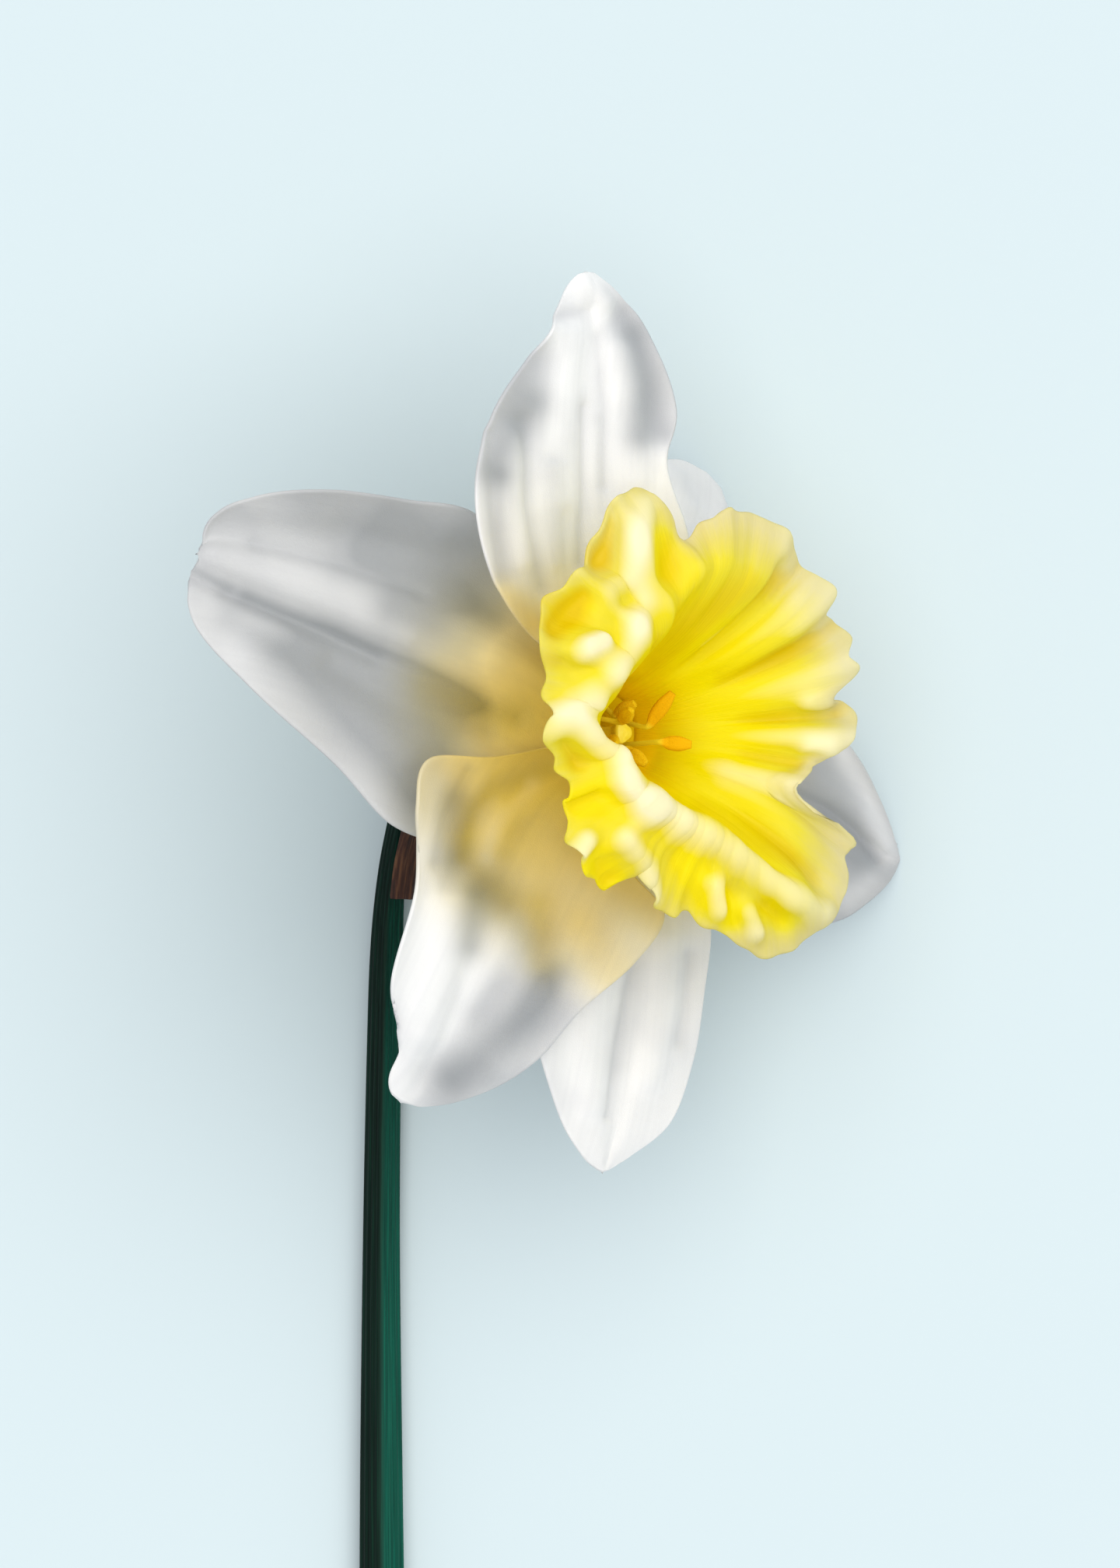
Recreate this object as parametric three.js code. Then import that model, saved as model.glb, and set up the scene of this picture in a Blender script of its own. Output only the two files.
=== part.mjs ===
// A picked large-cupped daffodil lying on a flat surface, with its bloom turned up and to the right.
// Millimetres, +Z up. The origin is on the surface, under the middle of the flower's outline box.
import * as THREE from "three";

// Driving dimensions. The bloom's centre is the point where the cup leaves the tube.
const BLOOM_TILT = THREE.MathUtils.degToRad(44);
const BLOOM_HEIGHT = 34.55;
const BLOOM_X = 8.5;
const BLOOM_Y = 63.4;

const TEPAL_THICKNESS = 0.8;
const TEPAL_ROWS = 16;
const TEPAL_COLUMNS = 12;
const TEPAL_BASE_RADIUS = 7.9;
const INNER_SEAT = 0.2;
const OUTER_SEAT = -1.2;
const RIB_WIDTH = 0.2;

const CUP_THICKNESS = 0.8;
const CUP_ROWS = 10;
const CUP_COLUMNS = 120;
const THROAT_RADIUS = 6.6;
const THROAT_FORWARD = 0.4;
const RIM_FORWARD = 13;
const PLEATS = 18;
const PLEAT_FLARE = 0.3;
const SCALLOP_DEPTH = 0.45;
const LIP_ARCH = 0.5;

const TUBE_LENGTH = 17;
const TUBE_FLOOR = 0.8 - TUBE_LENGTH;
const TUBE_SIDES = 24;
const OVARY_LENGTH = 10;
const PIECE_GAP = 0.3;
const FILAMENT_FOOT_RADIUS = 2.9;
const FILAMENT_FOOT = -3.5;
const FILAMENT_SIDES = 6;

const STEM_SIDES = 16;
const STEM_SQUARENESS = 1.2;
const STEM_STEPS = 24;

const SPATHE_THICKNESS = 0.6;
const SPATHE_ROWS = 14;
const SPATHE_COLUMNS = 10;

const TAN = Math.tan(BLOOM_TILT);
const COS = Math.cos(BLOOM_TILT);
const SIN = Math.sin(BLOOM_TILT);
const TURN = 2 * Math.PI;

// A point seen at x, y from above, measured from the bloom's centre, and this far forward of the
// plane that the six tepals spread in.
function onPlane(x, y, forward) {
  return new THREE.Vector3(BLOOM_X + x, BLOOM_Y + y, BLOOM_HEIGHT - x * TAN + forward / COS);
}

// The same by radius and azimuth round the bloom's own axis, azimuth 0 to the right.
function roundAxis(radius, azimuth, forward) {
  const x = radius * Math.cos(azimuth) * COS + forward * SIN;
  return onPlane(x, radius * Math.sin(azimuth), forward);
}

// A point given from the bloom's centre sideways and along, and from the surface upwards.
function onSurface(x, y, z) {
  return new THREE.Vector3(BLOOM_X + x, BLOOM_Y + y, z);
}

function radians(degrees) {
  return THREE.MathUtils.degToRad(degrees);
}

function meshOf(name, geometry, colour, roughness) {
  const material = new THREE.MeshStandardMaterial({ color: colour, roughness, metalness: 0 });
  const mesh = new THREE.Mesh(geometry, material);
  mesh.name = name;
  return mesh;
}

function solidOf(points, triangles) {
  const geometry = new THREE.BufferGeometry();
  const position = new Float32Array(points.flatMap((point) => point.toArray()));
  geometry.setAttribute("position", new THREE.BufferAttribute(position, 3));
  geometry.setIndex(triangles);
  geometry.computeVertexNormals();
  return geometry;
}

// A sheet of even thickness over surface(u, v), u and v from 0 to 1. A closed sheet joins v = 1 to
// v = 0. Both faces are split into triangles alike, and walls close the free edges.
function sheet(surface, rows, columns, thickness, closed) {
  const step = 1e-3;
  const across = closed ? columns : columns + 1;
  const front = [];
  const back = [];
  for (let i = 0; i <= rows; i++) {
    for (let j = 0; j < across; j++) {
      const u = i / rows;
      const v = j / columns;
      const point = surface(u, v);
      const along = surface(u + step, v).sub(surface(u - step, v));
      const sideways = surface(u, v + step).sub(surface(u, v - step));
      const normal = along.cross(sideways).normalize();
      front.push(point.clone().addScaledVector(normal, thickness / 2));
      back.push(point.clone().addScaledVector(normal, -thickness / 2));
    }
  }
  const behind = front.length;
  const at = (i, j) => i * across + (j % across);
  const triangles = [];
  for (let i = 0; i < rows; i++) {
    for (let j = 0; j < columns; j++) {
      const [a, b, c, d] = [at(i, j), at(i + 1, j), at(i + 1, j + 1), at(i, j + 1)];
      triangles.push(a, b, c, a, c, d);
      triangles.push(behind + a, behind + c, behind + b, behind + a, behind + d, behind + c);
    }
  }
  // Walls along the border, which runs a to b on the front face.
  const wall = (a, b) => triangles.push(b, a, behind + a, b, behind + a, behind + b);
  for (let j = 0; j < columns; j++) {
    wall(at(0, j + 1), at(0, j));
    wall(at(rows, j), at(rows, j + 1));
  }
  if (!closed) {
    for (let i = 0; i < rows; i++) {
      wall(at(i, 0), at(i + 1, 0));
      wall(at(i + 1, columns), at(i, columns));
    }
  }
  return solidOf([...front, ...back], triangles);
}

// A solid skinned over rings of points that run the same way round, with a fan over each end.
function loft(rings) {
  const sides = rings[0].length;
  const points = rings.flat();
  const triangles = [];
  for (let i = 0; i + 1 < rings.length; i++) {
    for (let j = 0; j < sides; j++) {
      const a = i * sides + j;
      const b = i * sides + ((j + 1) % sides);
      triangles.push(a, b, b + sides, a, b + sides, a + sides);
    }
  }
  const middle = (ring) =>
    ring.reduce((sum, point) => sum.add(point), new THREE.Vector3()).divideScalar(sides);
  const last = (rings.length - 1) * sides;
  const start = points.push(middle(rings[0])) - 1;
  const end = points.push(middle(rings.at(-1))) - 1;
  for (let j = 0; j < sides; j++) {
    const next = (j + 1) % sides;
    triangles.push(start, next, j, end, last + j, last + next);
  }
  return solidOf(points, triangles);
}

// Smooth values at t from 0 to 1 through rows of numbers, evenly spaced.
function smooth(rows, t) {
  const last = rows.length - 1;
  const place = Math.min(Math.max(t, 0), 1) * last;
  const i = Math.min(Math.floor(place), last - 1);
  const before = i > 0 ? rows[i - 1] : rows[0].map((value, k) => 2 * value - rows[1][k]);
  const beyond =
    i + 2 <= last ? rows[i + 2] : rows[last].map((value, k) => 2 * value - rows[last - 1][k]);
  return cubic(before, rows[i], rows[i + 1], beyond, place - i);
}

// Smooth values round a full turn through rows of azimuth in degrees, then values.
function smoothRound(rows, azimuth) {
  const first = rows[0][0];
  const turned = THREE.MathUtils.euclideanModulo(THREE.MathUtils.radToDeg(azimuth) - first, 360);
  const degrees = turned + first;
  const count = rows.length;
  let i = count - 1;
  while (rows[i][0] > degrees) i--;
  const row = (k) => rows[(i + k + count) % count].slice(1);
  const next = i + 1 < count ? rows[i + 1][0] : first + 360;
  return cubic(row(-1), row(0), row(1), row(2), (degrees - rows[i][0]) / (next - rows[i][0]));
}

// 0 below low, 1 above high, and a smooth rise between them.
function ease(low, high, value) {
  return THREE.MathUtils.smoothstep(value, low, high);
}

function cubic(p0, p1, p2, p3, f) {
  return p1.map((value, k) => {
    const linear = p2[k] - p0[k];
    const square = 2 * p0[k] - 5 * value + 4 * p2[k] - p3[k];
    const cube = 3 * value - p0[k] - 3 * p2[k] + p3[k];
    return 0.5 * (2 * value + linear * f + square * f * f + cube * f * f * f);
  });
}

// Tepals, base to tip. Each row is one margin x, y, the midrib x, y and forward, and the other
// margin x, y, all from the bloom's centre as seen from above. The base row is set on the tube by
// its azimuth. cup is how far the margins stand forward of the midrib halfway out, and rib how far
// the midrib's ridge stands forward, or its groove back.
const TEPALS = {
  // Top
  tepal_inner_1: {
    seat: [70, 95, 120, INNER_SEAT],
    cup: 2.5,
    rib: -0.7,
    rows: [
      [6.5, 13.0, -2.0, 14.0, 0.6, -11.0, 11.4],
      [7.5, 22.0, -4.0, 22.0, 0.4, -15.8, 20.0],
      [4.9, 31.0, -5.0, 30.5, -0.6, -16.8, 29.6],
      [6.2, 37.6, -4.6, 38.0, -2.0, -13.7, 37.6],
      [4.0, 44.6, -4.0, 45.4, -3.2, -9.2, 44.4],
      [1.4, 49.2, -4.0, 50.0, -4.2, -7.7, 48.6],
      [-3.0, 52.9, -4.7, 53.1, -4.8, -6.6, 52.2],
    ],
  },
  // Left
  tepal_outer_1: {
    seat: [133, 157, 184, OUTER_SEAT],
    cup: 2,
    rib: 1.2,
    rows: [
      [-10.0, 15.0, -10.5, 7.2, -2.6, -12.5, -4.0],
      [-16.5, 24.5, -16.5, 10.2, -4.6, -19.5, -11.5],
      [-25.0, 26.4, -24.3, 13.2, -8.0, -26.3, -10.6],
      [-35.0, 27.5, -32.6, 16.2, -12.0, -33.2, -3.4],
      [-42.4, 26.8, -40.5, 18.8, -15.6, -42.0, 4.6],
      [-46.8, 24.4, -46.4, 20.2, -18.4, -48.3, 11.4],
      [-48.4, 21.4, -48.4, 20.0, -19.4, -50.1, 16.6],
    ],
  },
  // Lower left
  tepal_inner_2: {
    seat: [188, 213, 238, INNER_SEAT],
    cup: 2.2,
    rib: -0.8,
    rows: [
      [-14.5, -2.9, -9.5, -8.5, -0.2, 0.5, -15.5],
      [-22.2, -3.2, -13.0, -15.0, -0.8, 4.6, -21.0],
      [-23.6, -8.5, -16.0, -22.0, -2.0, 1.2, -26.6],
      [-23.7, -17.7, -19.0, -28.5, -3.6, -5.0, -32.0],
      [-26.5, -28.6, -21.5, -34.5, -5.6, -10.2, -37.8],
      [-25.4, -35.0, -23.5, -39.5, -7.4, -15.8, -41.2],
      [-27.4, -40.4, -25.4, -42.2, -8.6, -22.2, -43.2],
    ],
  },
  // Bottom
  tepal_outer_2: {
    seat: [247, 272, 297, OUTER_SEAT],
    cup: 0,
    rib: -0.8,
    rows: [
      [-8.5, -14.5, 0.8, -15.0, -2.4, 9.0, -13.5],
      [-11.3, -24.0, 1.2, -23.0, -3.8, 10.2, -22.5],
      [-10.9, -32.0, 0.8, -31.0, -4.8, 9.4, -30.5],
      [-9.4, -38.0, 0.0, -38.5, -5.4, 8.2, -38.0],
      [-7.1, -45.0, -1.0, -45.0, -5.6, 5.5, -45.4],
      [-4.7, -49.1, -2.0, -49.3, -5.6, 0.7, -49.3],
      [-3.4, -50.5, -2.4, -50.9, -5.6, -1.4, -50.6],
    ],
  },
  // Right
  tepal_inner_3: {
    seat: [313, 338, 3, INNER_SEAT],
    cup: 1.5,
    rib: -0.6,
    rows: [
      [9.5, -13.0, 11.0, -5.0, 0.2, 13.0, 3.5],
      [15.0, -19.0, 17.0, -7.5, 0.0, 19.0, 3.6],
      [20.6, -22.4, 22.4, -9.8, -0.2, 24.2, 1.2],
      [25.8, -21.8, 26.8, -11.8, -0.6, 28.0, -3.2],
      [29.4, -19.6, 30.0, -13.4, -1.2, 30.6, -8.0],
      [31.8, -17.4, 32.1, -14.8, -1.6, 32.2, -12.0],
      [32.7, -15.6, 32.8, -14.9, -1.8, 32.7, -14.2],
    ],
  },
  // Upper right
  tepal_outer_3: {
    seat: [13, 38, 63, OUTER_SEAT],
    cup: 1,
    rib: 0.5,
    rows: [
      [10.5, 3.0, 6.4, 9.2, -3.0, 1.5, 14.5],
      [14.5, 4.0, 8.6, 13.5, -5.5, 1.5, 21.0],
      [16.8, 6.5, 10.3, 18.2, -8.5, 2.2, 27.0],
      [17.5, 11.0, 11.3, 22.4, -11.4, 3.6, 31.2],
      [16.2, 17.0, 11.8, 25.8, -13.8, 6.4, 32.3],
      [14.0, 22.5, 11.7, 28.0, -15.4, 9.4, 31.2],
      [12.2, 27.0, 11.5, 29.0, -16.2, 10.6, 30.2],
    ],
  },
};

function tepalRows({ seat, rows }) {
  const [first, middle, second, forward] = seat;
  const onTube = (degrees) => {
    const azimuth = radians(degrees);
    const x = TEPAL_BASE_RADIUS * Math.cos(azimuth) * COS + forward * SIN;
    return [x, TEPAL_BASE_RADIUS * Math.sin(azimuth)];
  };
  return [[...onTube(first), ...onTube(middle), forward, ...onTube(second)], ...rows];
}

function tepal(spec) {
  const rows = tepalRows(spec);
  const surface = (u, v) => {
    const [ax, ay, mx, my, forward, bx, by] = smooth(rows, u);
    const side = 2 * v - 1;
    const bend = side * side;
    const x = mx + (side * (bx - ax)) / 2 + bend * ((ax + bx) / 2 - mx);
    const y = my + (side * (by - ay)) / 2 + bend * ((ay + by) / 2 - my);
    const ridge = spec.rib * Math.exp(-((side / RIB_WIDTH) ** 2));
    return onPlane(x, y, forward + Math.sin(Math.PI * u) * (spec.cup * bend + ridge));
  };
  return sheet(surface, TEPAL_ROWS, TEPAL_COLUMNS, TEPAL_THICKNESS, false);
}

// The cup's rim as azimuth and radius round its axis: uneven lobes, a cleft at the top between two
// of them, a deep cleft at the lower right and scallops between those two.
const RIM = [
  [5, 25.4], [8.5, 24.4], [12, 21.6], [17, 25.4], [21, 24.1], [24.5, 26.5], [30, 26.0],
  [35, 24.3], [38.5, 26.0], [47, 25.6], [58, 26.2], [70, 26.6], [82, 25.7], [86, 24.8],
  [93, 23.1], [99, 22.5], [103, 26.2], [106, 28.3], [113, 30.0], [121, 29.5], [134, 26.8],
  [153, 28.8], [172, 24.9], [181, 25.5], [190, 23.2], [198, 22.2], [209, 24.6], [222, 24.4],
  [231, 23.0], [237, 19.4], [253, 21.6], [264, 20.8], [272, 22.4], [279, 23.4], [285, 25.7],
  [292, 28.0], [300, 28.8], [308, 29.3], [316, 30.1], [320, 29.2], [325, 28.8], [328, 27.5],
  [331, 28.2], [334, 27.6], [336, 17.4], [339, 16.2], [343, 17.2], [348, 19.0], [353, 20.9],
  [358, 22.9],
];

// How high the pleats stand round the cup: azimuth and height.
const PLEAT_HEIGHT = [
  [0, 0.9], [40, 0.9], [70, 0.7], [95, 0.5], [125, 0.8], [155, 0.7], [180, 0.5], [205, 0.5],
  [230, 0.35], [260, 0.3], [290, 0.3], [310, 0.4], [325, 0.7], [345, 0.5],
];

// Where the cup's wall turns out into its lip: azimuth, radius and forward.
const CREST = [
  [0, 18.0, 11.5], [50, 18.5, 12.0], [80, 18.2, 14.0], [97, 18.0, 15.0], [125, 15.0, 15.0],
  [154, 16.5, 15.0], [178, 18.3, 13.0], [198, 13.5, 14.0], [220, 12.0, 15.0], [245, 11.0, 15.0],
  [270, 11.0, 15.0], [291, 16.0, 15.0], [304, 21.5, 15.0], [318, 19.5, 12.5], [336, 14.5, 9.5],
  [348, 16.5, 11.0],
];

// The pleats aren't quite evenly spaced.
function wander(azimuth) {
  return azimuth + 0.018 * Math.sin(3 * azimuth + 1) + 0.012 * Math.sin(7 * azimuth + 2);
}

function corona() {
  const wall = (azimuth) => {
    const [rim] = smoothRound(RIM, azimuth);
    const [crest, crestForward] = smoothRound(CREST, azimuth);
    const scallop = (Math.cos(2 * PLEATS * wander(azimuth)) * (1 - Math.cos(azimuth))) / 2;
    const edge = rim + SCALLOP_DEPTH * scallop;
    const part = (out, up) => [
      THROAT_RADIUS + out * (crest - THROAT_RADIUS),
      THROAT_FORWARD + up * (crestForward - THROAT_FORWARD),
    ];
    const lip = [(crest + edge) / 2, (crestForward + RIM_FORWARD) / 2 + LIP_ARCH];
    return [part(0, 0), part(0.22, 0.3), part(0.52, 0.66), part(1, 1), lip, [edge, RIM_FORWARD]];
  };
  const surface = (u, v) => {
    const azimuth = v * TURN;
    const [radius, forward] = smooth(wall(azimuth), u);
    const [height] = smoothRound(PLEAT_HEIGHT, azimuth);
    const pleat = height * Math.cos(PLEATS * wander(azimuth)) * ease(0.02, 0.8, u);
    return roundAxis(radius + PLEAT_FLARE * pleat, azimuth, forward + pleat);
  };
  return sheet(surface, CUP_ROWS, CUP_COLUMNS, CUP_THICKNESS, true);
}

// A closed ring of revolution round the bloom's axis: the profile runs forward along the outside
// and back along the inside, as radius and forward.
function tube() {
  const profile = [
    [2.6, -TUBE_LENGTH], [2.7, -14], [3.2, -9], [4.2, -5], [5.8, -2.4], [7.2, -1.0], [7.2, -0.4],
    [6.0, -0.4], [4.8, -2.2], [3.2, -5], [2.3, -9], [1.9, -14], [1.8, TUBE_FLOOR],
    [0, TUBE_FLOOR],
  ];
  const outline = [[0, -TUBE_LENGTH], ...profile];
  const geometry = new THREE.LatheGeometry(
    outline.map(([r, z]) => new THREE.Vector2(r, z)),
    TUBE_SIDES,
  );
  geometry.deleteAttribute("uv");
  // The lathe turns about +Y, which is laid along the bloom's axis.
  const axis = new THREE.Vector3(SIN, 0, COS);
  const turn = new THREE.Quaternion().setFromUnitVectors(new THREE.Vector3(0, 1, 0), axis);
  geometry.applyQuaternion(turn);
  const centre = onPlane(0, 0, 0);
  geometry.translate(centre.x, centre.y, centre.z);
  return geometry;
}

// A round piece along the bloom's axis, from rows of forward and radius. Its section has three
// blunt corners when lobes is above zero.
function alongAxis(rows, sides, lobes) {
  return loft(
    rows.map(([forward, radius]) =>
      Array.from({ length: sides }, (_, j) => {
        const azimuth = (j / sides) * TURN;
        return roundAxis(radius * (1 + lobes * Math.cos(3 * azimuth)), azimuth, forward);
      }),
    ),
  );
}

function ovary() {
  const front = -TUBE_LENGTH - PIECE_GAP;
  const back = front - OVARY_LENGTH;
  const shape = [
    [0, 2.1], [0.12, 2.7], [0.32, 3.2], [0.55, 3.3], [0.78, 2.9], [0.92, 2.4], [1, 2.1],
  ];
  const rows = shape.map(([part, radius]) => [back + part * OVARY_LENGTH, radius]);
  return alongAxis(rows, 18, 0.07);
}

// Style with a three-lobed stigma, standing on the floor of the tube.
function pistil() {
  const foot = TUBE_FLOOR + PIECE_GAP;
  const rows = [
    [foot, 0.6], [-12, 0.6], [-8, 0.6], [-4, 0.65], [-1.8, 0.7], [-0.9, 1.0], [-0.3, 1.25],
    [0.1, 1.1], [0.3, 0.5],
  ];
  return alongAxis(rows, 9, 0.12);
}

// A point by x, y and forward on the bloom's own axis.
function onAxis([x, y, forward]) {
  return onPlane(x * COS + forward * SIN, y, forward);
}

// One stamen: a thin filament up from just inside the tube's wall, then its anther from base to tip.
function stamen(azimuth, base, tip) {
  const foot = [
    FILAMENT_FOOT_RADIUS * Math.cos(azimuth),
    FILAMENT_FOOT_RADIUS * Math.sin(azimuth),
    FILAMENT_FOOT,
  ];
  const between = (a, b, part) => a.map((value, k) => value + part * (b[k] - value));
  const path = [
    foot, between(foot, base, 0.5), base, between(base, tip, 0.33), between(base, tip, 0.66), tip,
  ];
  const width = [0.35, 0.35, 0.4, 0.8, 0.85, 0.5];
  return loft(sections(path.map(onAxis), width, width, FILAMENT_SIDES, 2));
}

// Sections across a path, each a rounded diamond of the given half width and half height.
// The widths lie level and the heights stand upright, square to the path.
function sections(centres, widths, heights, sides, squareness) {
  const up = new THREE.Vector3(0, 0, 1);
  return centres.map((centre, i) => {
    const ahead = centres[Math.min(i + 1, centres.length - 1)];
    const behind = centres[Math.max(i - 1, 0)];
    const along = ahead.clone().sub(behind).normalize();
    const level = along.clone().cross(up).normalize();
    const upright = level.clone().cross(along);
    return Array.from({ length: sides }, (_, j) => {
      const turn = (j / sides) * TURN;
      const [c, s] = [Math.cos(turn), Math.sin(turn)];
      const reach = (Math.abs(c) ** squareness + Math.abs(s) ** squareness) ** (-1 / squareness);
      return centre
        .clone()
        .addScaledVector(level, -widths[i] * reach * c)
        .addScaledVector(upright, heights[i] * reach * s);
    });
  });
}

// Stem and flower stalk, grown as one: from behind the ovary it bends over and down to the
// surface, and then lies along it. Rows are x, y, z, half width and half height. The first two are
// on the bloom's axis.
const STEM_START = -(TUBE_LENGTH + OVARY_LENGTH + 2 * PIECE_GAP);
const BEND_START = STEM_START - 2.2;
const STEM = [
  [STEM_START * SIN, 0, BLOOM_HEIGHT + STEM_START * COS, 1.5, 1.5],
  [BEND_START * SIN, 0, BLOOM_HEIGHT + BEND_START * COS, 1.5, 1.5],
  [-23.2, -2.2, 10.2, 1.5, 1.5],
  [-25.2, -6.4, 7.5, 1.5, 1.6],
  [-26.6, -12.0, 5.0, 1.55, 1.7],
  [-27.5, -18.0, 3.3, 1.7, 1.9],
  [-28.0, -26.0, 2.4, 1.95, 2.2],
  [-28.3, -38.0, 2.4, 2.05, 2.4],
  [-28.6, -60.0, 2.4, 2.2, 2.4],
  [-28.6, -90.0, 2.5, 2.55, 2.5],
  [-28.4, -120.0, 2.6, 2.8, 2.6],
  [-28.1, -150.0, 2.7, 2.9, 2.7],
  [-27.9, -180.0, 2.7, 3.0, 2.7],
];

function stem() {
  const rows = Array.from({ length: STEM_STEPS + 1 }, (_, i) => smooth(STEM, i / STEM_STEPS));
  const centres = rows.map(([x, y, z]) => onSurface(x, y, z));
  const widths = rows.map((row) => row[3]);
  const heights = rows.map((row) => row[4]);
  return loft(sections(centres, widths, heights, STEM_SIDES, STEM_SQUARENESS));
}

// The papery bract at the stem's top: a pointed sheet that wraps the stalk's right side and then
// leaves it. Rows are its lower margin, its middle and its upper margin, each x, y, z.
const SPATHE = [
  [-25.6, -19.5, 1.2, -25.0, -19.5, 4.0, -27.4, -19.4, 5.9],
  [-25.0, -14.2, 2.4, -24.3, -14.0, 5.4, -26.6, -13.8, 7.2],
  [-23.8, -9.8, 3.8, -23.0, -8.8, 6.8, -24.8, -8.0, 9.7],
  [-21.6, -6.0, 4.2, -20.8, -4.8, 6.6, -21.0, -3.4, 9.0],
  [-17.8, -3.2, 4.2, -17.2, -2.0, 6.2, -17.6, -0.8, 8.2],
  [-13.8, -1.0, 4.8, -13.6, -0.4, 5.4, -13.8, 0.2, 6.0],
];

function spathe() {
  const surface = (u, v) => {
    const row = smooth(SPATHE, u);
    const [lower, middle, upper] = [0, 3, 6].map((k) => onSurface(...row.slice(k, k + 3)));
    const side = 2 * v - 1;
    const bend = lower.clone().add(upper).divideScalar(2).sub(middle);
    return middle
      .addScaledVector(upper.sub(lower), side / 2)
      .addScaledVector(bend, side * side);
  };
  return sheet(surface, SPATHE_ROWS, SPATHE_COLUMNS, SPATHE_THICKNESS, false);
}

// The azimuth of each foot, then the anther's base and tip by x, y and forward on the bloom's axis.
const STAMENS = [
  [25, [1.8, 0.7, 2.0], [3.0, 4.6, 5.0]],
  [330, [1.7, -1.1, 4.0], [4.1, -1.4, 7.0]],
  [140, [-1.6, 1.2, 1.0], [-3.2, 2.6, 4.5]],
  [200, [-1.9, -0.6, -0.5], [-3.8, -1.4, 2.5]],
  [275, [0.3, -1.9, 0.0], [0.2, -3.6, 3.4]],
  [80, [0.4, 2.0, -2.0], [0.6, 3.4, 1.2]],
];

const daffodil = new THREE.Group();
daffodil.add(meshOf("stem", stem(), "#1d4a34", 0.45));
daffodil.add(meshOf("spathe", spathe(), "#8a5a3c", 0.8));
daffodil.add(meshOf("ovary", ovary(), "#3f6b3a", 0.45));
daffodil.add(meshOf("floral_tube", tube(), "#c9cf8e", 0.55));
for (const [name, spec] of Object.entries(TEPALS)) {
  daffodil.add(meshOf(name, tepal(spec), "#eeeeec", 0.6));
}
daffodil.add(meshOf("corona", corona(), "#f2dc1e", 0.55));
STAMENS.forEach(([degrees, base, tip], i) => {
  const geometry = stamen(radians(degrees), base, tip);
  daffodil.add(meshOf(`stamen_${i + 1}`, geometry, "#c9781a", 0.75));
});
daffodil.add(meshOf("pistil", pistil(), "#e6e08a", 0.5));

export default daffodil;
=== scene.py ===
import math

import bmesh
import bpy
import numpy as np
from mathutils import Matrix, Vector


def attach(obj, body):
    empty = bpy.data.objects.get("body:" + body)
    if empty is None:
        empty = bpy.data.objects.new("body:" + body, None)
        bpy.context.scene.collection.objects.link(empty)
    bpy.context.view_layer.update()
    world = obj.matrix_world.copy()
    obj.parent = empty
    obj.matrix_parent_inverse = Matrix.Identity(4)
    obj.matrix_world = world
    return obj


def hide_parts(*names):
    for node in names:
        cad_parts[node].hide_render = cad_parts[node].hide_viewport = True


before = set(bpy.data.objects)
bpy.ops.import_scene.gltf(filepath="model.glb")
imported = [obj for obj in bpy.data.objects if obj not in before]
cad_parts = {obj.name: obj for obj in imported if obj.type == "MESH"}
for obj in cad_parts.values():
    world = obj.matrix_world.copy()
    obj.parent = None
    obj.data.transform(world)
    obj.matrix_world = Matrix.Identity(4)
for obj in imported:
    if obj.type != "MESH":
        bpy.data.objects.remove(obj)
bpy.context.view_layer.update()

# Floor. The flower lies on a plain board with a matt pale grey-blue paint, which gives the eye
# nothing but a soft shadow. It is a stage piece and not a part of the flower.
MM = 0.001
FLOOR_SIDE = 3000
FLOOR_DROP = 0.1
FLOOR_COLOUR = "#BECDD2"
FLOOR_ROUGHNESS = 0.85


def colour(code):
    """Linear red, green, blue and alpha of an sRGB hex code."""
    parts = [int(code[i : i + 2], 16) / 255 for i in (1, 3, 5)]
    linear = [c / 12.92 if c <= 0.04045 else ((c + 0.055) / 1.055) ** 2.4 for c in parts]
    return (*linear, 1.0)


def material(name):
    """A material with one plain shader, its node tree, and that shader."""
    made = bpy.data.materials.new(name)
    made.use_nodes = True
    return made, made.node_tree, made.node_tree.nodes["Principled BSDF"]


floor_mesh = bpy.data.meshes.new("floor_board")
half = FLOOR_SIDE * MM / 2
corners = [(-half, -half, 0), (half, -half, 0), (half, half, 0), (-half, half, 0)]
floor_mesh.from_pydata(corners, [], [(0, 1, 2, 3)])
floor = bpy.data.objects.new("floor_board", floor_mesh)
floor.location = (0, 0, -FLOOR_DROP * MM)
bpy.context.scene.collection.objects.link(floor)
# Matt wall paint, rolled on: an even colour with no shine.
floor_paint, _, floor_shader = material("matt_floor_paint")
floor_shader.inputs["Base Color"].default_value = colour(FLOOR_COLOUR)
floor_shader.inputs["Roughness"].default_value = FLOOR_ROUGHNESS
floor_mesh.materials.append(floor_paint)

# Light. A broad soft window stands high over the flower, a little to the right and to the top of
# the picture, and models the folds. An even cool sky fills the shade that it leaves.
KEY_FROM = Vector((0.17, 0.22, 0.96))
KEY_STRENGTH = 2.68
KEY_SPREAD = math.radians(80)
KEY_COLOUR = "#FFFAF2"
SKY_COLOUR = "#ECEFF6"
SKY_STRENGTH = 0.78

key_light = bpy.data.lights.new("window", "SUN")
key_light.energy = KEY_STRENGTH
key_light.angle = KEY_SPREAD
key_light.color = colour(KEY_COLOUR)[:3]
key = bpy.data.objects.new("window", key_light)
key.rotation_euler = KEY_FROM.to_track_quat("Z", "Y").to_euler()
bpy.context.scene.collection.objects.link(key)
sky = bpy.data.worlds.new("even_sky")
sky.use_nodes = True
sky.node_tree.nodes["Background"].inputs["Color"].default_value = colour(SKY_COLOUR)
sky.node_tree.nodes["Background"].inputs["Strength"].default_value = SKY_STRENGTH
bpy.context.scene.world = sky
bpy.context.scene.view_settings.view_transform = "Standard"

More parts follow.
